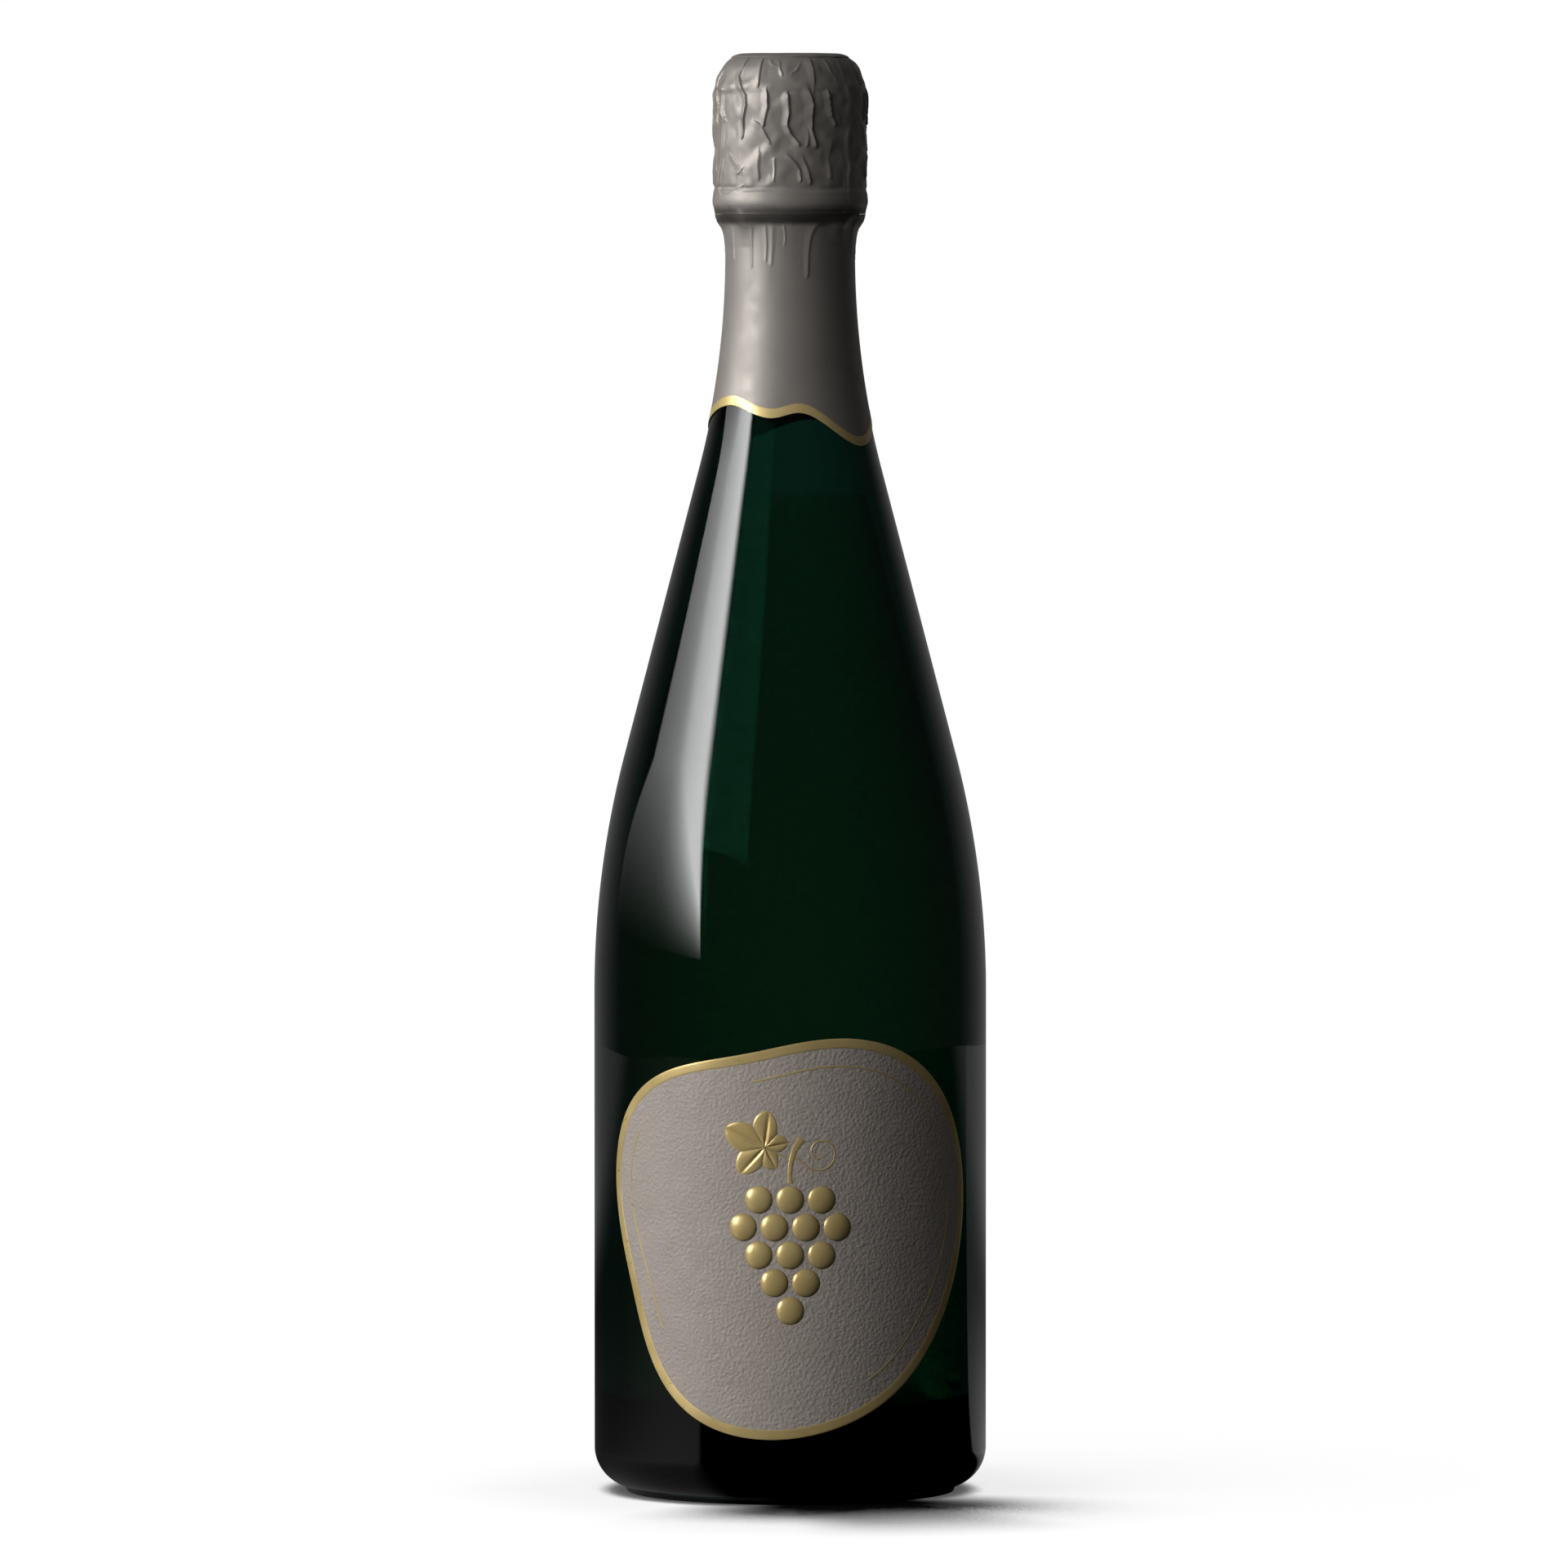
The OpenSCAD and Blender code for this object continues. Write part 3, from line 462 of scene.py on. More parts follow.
# Bottle glass
def make_glass():
    floor_r = BODY_R - WALL - FLOOR_FILLET_R
    normal = radians(punt_normal)
    floor_z = (PUNT_FOOT[1] + BASE_WALL * sin(normal)
               + (FLOOR_FILLET_R - cos(normal)
                  * (floor_r - PUNT_FOOT[0] - BASE_WALL * cos(normal))) / sin(normal))
    outside = (
        arc(0, punt_dome_z, PUNT_DOME_R, 90, punt_normal)
        + [PUNT_FOOT, (BEARING_R - BEARING_W, 0), (BEARING_R, 0), (BEARING_R + FOOT_H / 3, FOOT_H)]
        + arc(BODY_R - HEEL_R, HEEL_TOP_Z, HEEL_R, HEEL_START_ANGLE, 0)
        + shoulder(0)
        + hollow(0, hollow_start_z, neck_z)
        + [(NECK_R, RING_Z - THROAT_H - (NECK_R - THROAT_R)), (THROAT_R, RING_Z - THROAT_H)]
        + [(THROAT_R, RING_Z)]
        + arc(RING_R - RING_ROUND_R, RING_Z + RING_ROUND_R, RING_ROUND_R, -90, 0, 8)
        + arc(RING_R - RING_ROUND_R, RING_TOP_Z - RING_ROUND_R, RING_ROUND_R, 0, 60, 8)
        + [(GROOVE_R, RING_TOP_Z + RING_ROUND_R), (GROOVE_R, LIP_Z - (LIP_R - GROOVE_R) / 2)]
        + arc(LIP_R - LIP_ROUND_R, LIP_Z + LIP_ROUND_R, LIP_ROUND_R, -45, 0, 8)
        + arc(LIP_R - LIP_ROUND_R, GLASS_H - LIP_ROUND_R, LIP_ROUND_R, 0, 90, 8))
    inside = (
        arc(0, punt_dome_z, PUNT_DOME_R + BASE_WALL, 90, punt_normal)
        + arc(floor_r, floor_z, FLOOR_FILLET_R, HALF_TURN + punt_normal, FULL_TURN)
        + shoulder(WALL)
        + hollow(WALL, hollow_start_z - WALL * sin(slope), TAPER_Z)
        + [(BORE_R, BORE_Z), (BORE_R, GLASS_H - LIP_ROUND_R / 2), (BORE_R + LIP_ROUND_R / 2, GLASS_H)])
    return lathe("bottle_glass", "turned", outside + inside[::-1], "bottle")


# Relief of the foil. A fold is a crest that runs downwards: its height, the width of its flank
# on the left and on the right, and its line as (x, z) seen from the front.
FRONT_FOLDS = [
    (0.42, 1.7, 0.5, [(-11.6, 321.0), (-12.2, 317.4), (-11.1, 315), (-10.2, 313.1), (-9.9, 311),
                      (-10.5, 308), (-10.6, 303.9)]),
    (0.34, 1.6, 0.4, [(-7.6, 321.2), (-7.3, 318.3), (-7.2, 315.4)]),
    (0.2, 0.9, 0.5, [(-5.5, 321), (-4.7, 320.1), (-2.9, 319.4)]),
    (0.24, 1.5, 0.4, [(-2.8, 320.4), (-2.5, 319.1), (-1.9, 317.8)]),
    (0.2, 0.4, 0.9, [(2.3, 320), (1.3, 318.6), (0.2, 318)]),
    (0.26, 2.2, 0.5, [(5.3, 321.8), (5.6, 319.2), (5.7, 317.4), (5.4, 314)]),
    (0.24, 1.6, 0.4, [(9.6, 320.6), (10, 318.6), (10.9, 316.9)]),
    (0.5, 1.7, 0.4, [(-5.2, 313.5), (-5, 310.4), (-5.6, 308), (-5.9, 306.4)]),
    (0.52, 1.8, 0.35, [(-0.5, 313.3), (-0.2, 309.2), (-0.7, 306.5), (0.1, 304.6), (1.9, 302.4)]),
    (0.55, 2.4, 0.35, [(4.6, 313.3), (5.2, 311), (4.9, 308), (4.8, 305.5), (5.8, 302.2)]),
    (0.48, 1.7, 0.35, [(8.7, 313.3), (9, 310.4), (9.2, 308.6), (10.1, 306.8)]),
    (0.36, 1.6, 0.35, [(-7.6, 307), (-6.4, 306.1), (-5.8, 304.9), (-4.6, 302.7)]),
    (0.3, 1.6, 0.6, [(3.9, 305.6), (4.2, 303.8), (3.9, 302)]),
    (0.34, 1.3, 1.1, [(13, 314.3), (13.3, 311.6), (13, 309.2), (13.2, 306.1), (12.7, 303.4),
                      (12.9, 300.1), (13.3, 297), (13, 294.6), (13.2, 288.6)]),
    (0.5, 1.9, 0.8, [(-15.2, 314.4), (-15.4, 309.2), (-14.9, 308.3), (-15.1, 304.3), (-15.4, 298.5),
                     (-15.8, 295.5), (-16.1, 292.5), (-15.7, 291.2)]),
    (0.3, 0.5, 0.5, [(-15.6, 291.9), (-13.9, 291.4), (-12.1, 292.3), (-10.6, 293)]),
    (0.3, 1.8, 0.4, [(-13, 299.4), (-11.6, 297.6), (-11, 296.4), (-11.6, 295.6)]),
    (0.24, 1.8, 0.8, [(-7.1, 300.2), (-7.3, 297), (-7.1, 294.6)]),
    (0.22, 0.5, 0.5, [(-3.6, 298.8), (-3.5, 296.2), (-3.7, 294)]),
    (0.3, 1.5, 0.5, [(0, 299.2), (1.4, 297.6), (2.2, 296.4), (2.4, 294.2)]),
    (0.3, 1.4, 0.4, [(3.2, 298.4), (4.2, 295.8), (4.6, 293.6)]),
    (0.2, 1.6, 1.6, [(9.2, 302.4), (8.6, 299), (9, 295)]),
]
# Zones of the folds on the sides and the back: how many, the lowest and highest middle, half the length,
# the lean, the height and the width; the angles that they fill; and the share with swapped flanks
FOLD_ZONES = [(15, 317.2, 319.8, 2.8, 0.4, 0.28, 1.4), (19, 309.4, 311, 3.4, 0.4, 0.5, 1.8),
              (13, 302.6, 306.4, 2.4, 1.2, 0.34, 1.5), (17, 295.4, 299, 2.4, 1, 0.28, 1.4)]
SIDE_START = 66
SIDE_SPAN = 228
REVERSED_SHARE = 0.4
# How sharp a fold's crest is, how it sinks towards its end, and the fold over each leg at the back
FOLD_SHARPNESS = 1.3
FOLD_SINK = 0.8
LEG_FOLD = (0.3, 1.2, 1.2)
# Spacing and height of the crumpled part's waves and ripples, how deep it lies between its folds, its
# lower end, and the share of the folds and the waves that are left below
WAVES = (6, 0.12)
RIPPLES = (2.6, 0.04)
VALLEY_DEPTH = 0.2
CRUMPLED_Z = 291.2
CRUMPLED_FADE_H = 1.4
LOW_FOLD_SHARE = 0.25
LOW_WAVE_H = 0.02
# Creases under the plaque's rim and over the glass ring: height, and the spacing and height of their
# wandering; and the half width and height of each, and of the swell over the first
RIM_CREASE_Z = 314
RIM_WANDER = (9, 0.4)
RIM_CREASE = (0.8, 0.14)
RIM_SWELL = (1.1, 0.12)
RIM_SWELL_RISE = 2
RING_CREASE_Z = 292.3
RING_WANDER = (12, 0.2)
RING_CREASE = (0.55, 0.16)
# Bulge round the ring, the tuck under it, and how far the foil may stand out, and in: less near the cage's
# wires and beside the plaque
RING_BULGE_Z = 289.6
RING_BULGE = (1.3, 0.2)
CAP_TUCK = 0.38
CAP_TUCK_Z = 288.9
CAP_TUCK_H = 2.2
RELIEF_HIGH = 0.36
RELIEF_LOW = -0.38
WIRE_NEAR = (4.5, 0.26)
PLAQUE_NEAR = 0.18
# Spacing of the cap's points outside and on the lining, and the width in which the relief fades on top
CAP_STEP = 0.16
LINING_STEP = 0.6
TOP_FADE_W = 2.2
# Top disc: its uneven edge and dents, extra thickness, pressed ring and thin edge
DISC_EDGE_WOBBLE = 0.08
DISC_DENT = 0.012
DISC_EXTRA_T = 0.02
PRESSED_RING_R = 7.4
PRESSED_RING = (0.4, 0.06)
DISC_EDGE_T = 0.01
DISC_EDGE_SHARE = 0.985


def unrolled(line):
    """A fold seen from the front, on the unrolled foil."""
    return [(CAP_R * asin(x / CAP_R), z) for x, z in line]


def random_folds(rng):
    """Folds for the sides and the back, in the same zones as those on the front."""
    folds = []
    for count, low_z, high_z, half, lean_x, height, width in FOLD_ZONES:
        for i in range(count):
            x = CAP_R * radians(SIDE_START + (i + rng.uniform(0.15, 0.85)) * SIDE_SPAN / count)
            z = rng.uniform(low_z, high_z)
            reach = half * rng.uniform(0.7, 1.2)
            tilt, bend = lean_x * rng.uniform(-1, 1), rng.uniform(-0.5, 0.5)
            line = [(x + tilt, z + reach), (x + bend, z + reach / 3), (x - bend / 2, z - reach / 3),
                    (x - tilt, z - reach)]
            flanks = [width * rng.uniform(0.8, 1.3), rng.uniform(0.35, 0.8)]
            if rng.uniform() < REVERSED_SHARE:
                flanks.reverse()
            folds.append((height * rng.uniform(0.6, 1.1), *flanks, line))
    return folds


def fold_height(x, z, fold):
    """Height of a fold's crest and flanks over arrays of places; it sinks towards its lower end."""
    height, left_w, right_w, line = fold
    nearest = np.full(x.shape, np.inf)
    wrap = 2 * pi * CAP_R
    for number, ((ax, az), (bx, bz)) in enumerate(zip(line, line[1:])):
        px = (x - ax + wrap / 2) % wrap - wrap / 2
        pz = z - az
        dx, dz = bx - ax, bz - az
        t = np.clip((px * dx + pz * dz) / (dx * dx + dz * dz), 0, 1)
        width = np.where(dx * pz - dz * px < 0, left_w, right_w)
        sink = 1 + FOLD_SINK * ((number + t) / (len(line) - 1)) ** 2
        nearest = np.minimum(nearest, np.hypot(px - t * dx, pz - t * dz) / width * sink)
    return height * np.clip(1 - nearest, 0, None) ** FOLD_SHARPNESS


def highest(x, z, folds):
    """Height of the highest of several folds over arrays of places."""
    relief = np.zeros(x.shape)
    for fold in folds:
        relief = np.maximum(relief, fold_height(x, z, fold))
    return relief


def soft_noise(x, z, rng, scale, count=14):
    """Smooth noise that closes round the foil."""
    total = np.zeros(np.broadcast(x, z).shape)
    for _ in range(count):
        waves = rng.integers(1, int(2 * pi * CAP_R / scale))
        rise = rng.uniform(-1, 1) * 2 * pi / scale
        total += np.sin(waves * x / CAP_R + rise * z + rng.uniform(0, 2 * pi))
    return total / sqrt(count)


def soft_limit(value, softness=0.035):
    """A value kept over zero, without a sharp turn."""
    return softness * np.logaddexp(0, value / softness)


def cap_relief(angle, z, top_fade):
    """How far the crumpled cap stands out from its plain form, in millimetres."""
    rng = np.random.default_rng(CAP_SEED)
    x = CAP_R * np.radians(angle)
    folds = random_folds(rng) + [(*fold[:3], unrolled(fold[3])) for fold in FRONT_FOLDS]
    for leg in LEG_ANGLES[2:]:
        side = CAP_R * radians(leg)
        folds.append((*LEG_FOLD, [(side, 313.8), (side + 0.3, 304), (side - 0.2, 288.8)]))
    relief = highest(x, z, folds)
    waves = soft_noise(x, z, rng, WAVES[0])
    ripples = soft_noise(x, z, rng, RIPPLES[0])
    rim_z = RIM_CREASE_Z + RIM_WANDER[1] * soft_noise(x, 0 * z, rng, RIM_WANDER[0])
    ring_z = RING_CREASE_Z + RING_WANDER[1] * soft_noise(x, 0 * z, rng, RING_WANDER[0])
    creases = (near(z - rim_z - RIM_SWELL_RISE, *RIM_SWELL) - near(z - rim_z, *RIM_CREASE)
               - near(z - ring_z, *RING_CREASE))
    crumpled = ease((z - CRUMPLED_Z) / CRUMPLED_FADE_H)
    ring_bulge = (near(z - RING_BULGE_Z, *RING_BULGE)
                  - CAP_TUCK * np.clip((CAP_TUCK_Z - z) / CAP_TUCK_H, 0, 1) ** 1.2)
    total = (crumpled * (relief - VALLEY_DEPTH + WAVES[1] * waves + RIPPLES[1] * ripples)
             + (1 - crumpled) * (LOW_FOLD_SHARE * relief + ring_bulge + LOW_WAVE_H * waves) + creases)
    wires = np.max([near(apart(angle, leg), *WIRE_NEAR) for leg in LEG_ANGLES + [EYE_TURN_ANGLE]], axis=0)
    deepest = RELIEF_LOW + np.maximum(wires, PLAQUE_NEAR * ease((z - PLAQUE_RIM_Z + 1.2) / 2))
    return (RELIEF_HIGH - soft_limit(RELIEF_HIGH - deepest - soft_limit(total - deepest))) * top_fade


def profile_normals(outline):
    """Outward normals of an outline that runs up the outside."""
    line = np.asarray(outline)
    way = np.gradient(line, axis=0)
    normals = np.stack([way[:, 1], -way[:, 0]], axis=1)
    return normals / np.linalg.norm(normals, axis=1)[:, None]


def resampled(outline, step):
    """An outline with its points about a step apart."""
    line = np.asarray(outline, dtype=float)
    reach = np.concatenate([[0], np.cumsum(np.hypot(*np.diff(line, axis=0).T))])
    places = np.linspace(0, reach[-1], int(reach[-1] / step) + 1)
    return np.stack([np.interp(places, reach, line[:, 0]), np.interp(places, reach, line[:, 1])], axis=1)


def softened(line, half):
    """A line with its corners rounded by an average over a number of points on each side."""
    padded = np.pad(line, ((half, half), (0, 0)), "edge")
    share = np.ones(2 * half + 1) / (2 * half + 1)
    soft = np.stack([np.convolve(padded[:, i], share, mode="valid") for i in range(2)], axis=1)
    soft[0], soft[-1] = line[0], line[-1]
    return soft


def crumpled_grid(outline, depth):
    """Points of the cap's outline turned round the axis and crumpled, moved inwards by a depth."""
    normals = profile_normals(outline)
    angle, z = np.meshgrid(round_angles(CAP_COLUMNS), outline[:, 1])
    top_fade = ease((outline[:, 0:1] - crown_r - TOP_DISC_REACH) / TOP_FADE_W + 0.2) + 0 * angle
    relief = cap_relief(angle, z, top_fade) - depth
    r = outline[:, 0:1] + relief * normals[:, 0:1]
    return around(angle, r, z + relief * normals[:, 1:2])


def make_cap():
    foot_z = PLAQUE_RIM_Z + (CAP_OFFSET - (CAP_R - PLAQUE_RIM_R) * cos(lean)) / sin(lean)
    outline = [(CAP_R, CAP_FOOT_Z)] + crown(CAP_OFFSET, foot_z) + [(crown_r - TOP_FOLD_W, CAP_TOP_Z)]
    outside = softened(resampled(outline, CAP_STEP), 5)
    shape = shell(crumpled_grid(outside, 0), crumpled_grid(resampled(outside, LINING_STEP), FOIL_T))
    return make_object("foil_cap", "crumpled", shape, "foil_cap", 60)


def make_top_disc():
    """The disc glued over the ends of the foil, with a pressed ring and a slightly uneven edge."""
    angle = round_angles(DISC_COLUMNS)
    t = np.radians(angle)
    wobble = DISC_EDGE_WOBBLE * soft_noise(CAP_R * t, 0 * angle, np.random.default_rng(DISC_EDGE_SEED), 6)
    near_r = CROWN_CORNER_R + CAP_OFFSET + TOP_DISC_GLUE_T
    edge = acos(TOP_DISC_REACH / near_r)
    flat = [(r, pi / 2) for r in np.linspace(0, crown_r, 44, endpoint=False)]
    shoulders = [(crown_r, turn) for turn in np.linspace(pi / 2, edge, 20)]
    outer, inner = [], []
    for r, turn in flat + shoulders:
        reach = r + near_r * cos(turn)
        z = crown_z + near_r * sin(turn)
        share = reach / (crown_r + TOP_DISC_REACH)
        dents = soft_noise(reach * np.sin(t), reach * np.cos(t), np.random.default_rng(DISC_DENT_SEED), 5)
        rise = (TOP_DISC_T + DISC_EXTRA_T + DISC_DENT * dents * ease(share * 3)
                - near(reach - PRESSED_RING_R, *PRESSED_RING)
                - (TOP_DISC_T - DISC_EDGE_T) * ease((share - DISC_EDGE_SHARE) / (1 - DISC_EDGE_SHARE)))
        spread = reach + wobble * share
        outer.append(around(angle, spread + rise * cos(turn), z + rise * sin(turn)))
        inner.append(around(angle, spread, z + 0 * angle))
    rows = outer + inner[::-1]
    faces = grid_faces(len(rows), len(angle), closed=True)
    return make_object("foil_top_disc", "pressed", (np.concatenate(rows), faces), "foil_cap", 50)


def make_tear_tab():
    """The tab of doubled foil that stands on the cap at the back, with a round free end."""
    share, level = np.meshgrid(np.linspace(1, 0, TAB_GRID[0]), np.linspace(-1, 1, TAB_GRID[1]))
    angle = EYE_TURN_ANGLE + share * degrees(TAB_LEN / TAB_R)
    half = TAB_H / 2 * domed(np.clip((share - TAB_END_SHARE) / (1 - TAB_END_SHARE), 0, 1))
    z = TAB_Z + TAB_H / 2 + level * half
    middle_r = TAB_R + TAB_WAVE * np.sin(share * 19 + level) * share
    shape = shell(around(angle, middle_r + TAB_T / 2, z), around(angle, middle_r - TAB_T / 2, z), False)
    return make_object("foil_tear_tab", "rounded", shape, "tear_tab", 50)


def hem_z(angle):
    """Height of the collar's lower edge at angles from the front."""
    turned_on = (angle - HEM_ANGLES[0]) % FULL_TURN + HEM_ANGLES[0]
    place = np.interp(turned_on, HEM_ANGLES, range(len(HEM_ANGLES)))
    i = np.minimum(place.astype(int), len(HEM_ANGLES) - 2)
    shares = np.array(HEM_HEIGHT_SHARES)
    return HEM_LOW_Z + HEM_SWING * (shares[i] + (shares[i + 1] - shares[i]) * ease(place - i))


def collar_radius(z, angle=None):
    """Radius of the collar's plain outside, from the hem up to the torn edge. At the front, away from
    the cage's legs, it turns in more sharply under the ring."""
    flare_z = TEAR_Z - FLARE_H
    neck = glass_radius(np.minimum(z, flare_z)) + COLLAR_OFFSET
    place = (z - flare_z) / FLARE_H
    shares = np.interp(place, *np.array(FLARE_SHARES).T)
    if angle is not None:
        front = 1 - ease((np.abs(apart(angle, 0)) - SHARP_FRONT[0]) / SHARP_FRONT[1])
        for leg in LEG_ANGLES:
            front = front * (1 - near(apart(angle, leg), LEG_CLEAR_ANGLE))
        shares = shares + front * (np.interp(place, *np.array(SHARP_FLARE_SHARES).T) - shares)
    return neck + shares * (FLARE_R - NECK_R)


# Pleats of the collar under the ring, and the long fold towards the right
COLLAR_FOLDS = [
    (0.16, 1.2, 0.5, [(-9.8, 283.6), (-10.1, 280), (-10, 275)]),
    (0.14, 1.2, 0.7, [(-6.4, 283.8), (-6.2, 280), (-6.4, 276.4)]),
    (0.14, 1.6, 1.2, [(-4.6, 283.8), (-4.7, 280), (-5, 275.6)]),
    (0.16, 0.5, 0.4, [(-1.6, 284), (-1.3, 281.8), (-1.5, 279.6)]),
    (0.2, 2.2, 0.9, [(9, 285.2), (6.4, 283.8), (5.3, 281.6), (4.8, 278), (4.6, 273)]),
]
# Pleats on the sides and the back, where the foil is gathered, its waves, its plain torn edge, and the
# share of the relief that the lining has
BACK_PLEATS = 19
PLEAT_START = 60
PLEAT_SPAN = 240
PLEAT_H = 0.16
PLEAT_TOP_Z = 285
PLEAT_LOW_Z = (274, 280)
GATHER_LOW_Z = 262
GATHER_H = 14
WAVE_H = 0.025
TORN_EDGE_H = 1.2
LINING_RELIEF_SHARE = 0.6


def collar_relief(angle, z):
    """Upright pleats where the foil is gathered under the ring, and faint waves below."""
    rng = np.random.default_rng(COLLAR_SEED)
    x = CAP_R * np.radians(angle)
    folds = [(*fold[:3], unrolled(fold[3])) for fold in COLLAR_FOLDS]
    for i in range(BACK_PLEATS):
        side = CAP_R * radians(PLEAT_START + (i + rng.uniform(0.1, 0.9)) * PLEAT_SPAN / BACK_PLEATS)
        low = rng.uniform(*PLEAT_LOW_Z)
        folds.append((PLEAT_H, rng.uniform(1, 1.8), rng.uniform(0.4, 1),
                      [(side, PLEAT_TOP_Z), (side + rng.uniform(-0.5, 0.5), low)]))
    gathered = ease((z - GATHER_LOW_Z) / GATHER_H)
    waves = WAVE_H * soft_noise(x, z / 5, rng, 7)
    fade = 1 - ease((z - TEAR_Z) / TORN_EDGE_H + 1)
    return (highest(x, z, folds) + gathered * waves) * fade


def make_collar():
    angle, share = np.meshgrid(round_angles(COLLAR_GRID[0]), np.linspace(0, 1, COLLAR_GRID[1]))
    low = hem_z(angle)
    z = low + share * (TEAR_Z - low)
    r = collar_radius(z, angle)
    relief = collar_relief(angle, z)
    inner = around(angle, r - COLLAR_T + relief * LINING_RELIEF_SHARE, z)
    shape = shell(around(angle, r + relief, z), inner)
    return make_object("foil_collar", "gathered", shape, "bottle", 60)


def make_hem_gilding():
    """The gilded band along the hem, with rounded edges."""
    angle = round_angles(HEM_COLUMNS)
    rows = []
    for share, offset in HEM_BAND_PROFILE:
        z = hem_z(angle) + share * HEM_BAND_H
        rows.append(around(angle, collar_radius(z) + offset, z))
    shape = (np.concatenate(rows + rows[:1]), grid_faces(len(rows) + 1, len(angle), closed=True))
    return make_object("collar_gilding", "band", shape, "bottle", 60)


# Label: flat places are (along, up) from its middle, measured on the glass
def label_reach(direction):
    a = np.asarray(direction, dtype=float)
    share = sum(size * np.cos(np.radians(lobes * (a - turn))) for lobes, size, turn in LABEL_LOBE_SHARES)
    return LABEL_SIZE * (1 + share)


def on_bottle(flat, r):
    """Places of the label on the glass at a radius."""
    return around(np.degrees(flat[..., 0] / BODY_R), r, LABEL_Z + flat[..., 1])


def plate(flat, closed, low_r, high_r):
    """Points and faces of a thin plate: flat is a grid of places, rows by columns by 2, and
    high_r is its outer radius at each place."""
    return shell(on_bottle(flat, high_r), on_bottle(flat, low_r + 0 * flat[..., 0]), closed)


def make_label():
    direction = round_angles(LABEL_GRID[0])
    reach = np.linspace(0, 1, LABEL_GRID[1])[:, None] * label_reach(direction)
    shape = plate(polar(reach, direction), True, LABEL_R, LABEL_R + LABEL_T + 0 * reach)
    return make_object("front_label", "sheet", shape, "bottle", 40)


def gilded(flat, share, closed, depth):
    """A gilded patch on the label: a grid of places and the share of its relief at each. Its real
    rise stays within the gilding's thickness, and the emboss value deepens it in the shading."""
    low_r = LABEL_R + LABEL_T
    emboss = np.concatenate([depth * EMBOSS_H * share.ravel(), np.zeros(share.size)])
    return *plate(flat, closed, low_r - GILDING_SINK, low_r + GILDING_T * share), emboss


def band(inset, width, start, end, steps, closed):
    """A raised line that follows the label's outline."""
    direction = np.linspace(start, end, steps, endpoint=not closed)
    across, heights = np.array(BAND_PROFILE).T[:, :, None]
    reach = label_reach(direction) - inset - width * across
    return gilded(polar(reach, direction), heights + 0 * reach, closed, BAND_EMBOSS_SHARE)


def strip(line, halves):
    """A raised strip along a line of flat places, with its half width at each."""
    line, halves = np.asarray(line, dtype=float), np.asarray(halves, dtype=float)
    way = np.gradient(line, axis=0)
    side = np.stack([-way[:, 1], way[:, 0]], axis=1) / np.linalg.norm(way, axis=1)[:, None]
    across = np.linspace(-1, 1, 9)
    flat = line[:, None] + across[None, :, None] * (halves[:, None] * side)[:, None]
    return gilded(flat, domed(across) + 0 * line[:, :1], False, STRIP_EMBOSS_SHARE)


def dome(centre, outline, steps, profile, depth=1):
    """A raised, rounded patch with an outline about its centre."""
    places = np.linspace(0, 1, steps)[:, None]
    flat = np.array(centre) + places[..., None] * outline
    return gilded(flat, profile(places + 0 * flat[..., 0]), True, depth)


def berry_parts():
    ring = polar(BERRY_R, round_angles(BERRY_COLUMNS))
    places = [(k - (berries - 1) / 2, -row * BERRY_ROW_SHARE)
              for row, berries in enumerate(BERRY_ROWS) for k in range(berries)]
    return [dome(on_bunch(place), ring, 24, domed, BERRY_EMBOSS_SHARE) for place in places]


def on_bunch(shares):
    """Flat places from shares of the berries' pitch about the middle of the top row."""
    return BERRY_PITCH * (np.asarray(shares, dtype=float) + (0, BUNCH_LIFT_SHARE))


def leaf_parts():
    """A vine leaf with a vein to each lobe, on its stalk."""
    size = BERRY_PITCH * LEAF_SIZE_SHARE
    angle = round_angles(LEAF_COLUMNS) - HALF_TURN
    lobe_span = FULL_TURN / LEAF_LOBES
    off = np.abs(angle - lobe_span * np.round(angle / lobe_span)) / (lobe_span / 2)
    reach = (size * (1 - LEAF_NOTCH_SHARE * off ** LEAF_NOTCH_POWER)
             * (1 + LEAF_LEAD_SHARE * np.cos(np.radians(angle))))
    foot, way = on_bunch(LEAF_FOOT_SHARES), polar(1, LEAF_TURN)
    stalk_len = BERRY_PITCH * LEAF_MIDDLE_SHARE

    def relief(s):
        """Lobes that swell beside their veins and sink into the notches, with a rounded edge."""
        lobes = 0.35 + 0.65 * np.sin(np.pi * np.clip(off, 0, 0.98)) ** 0.7
        veins = 1 - VEIN_DEPTH_SHARE * near(off * s, VEIN_HALF_W) * ease(s * 5)
        return lobes * np.sqrt(1 - 0.9 * s ** 4) * veins * ease((1 - s) * 12 + 0.3)

    inner = size * (1 - LEAF_NOTCH_SHARE) * (1 - LEAF_LEAD_SHARE)
    stalk = [foot + way * d for d in np.linspace(0, stalk_len - 0.9 * inner, 8)]
    return [dome(foot + stalk_len * way, polar(reach, angle + LEAF_TURN), 30, relief),
            strip(stalk, [INNER_LINE_W / 2] * len(stalk))]


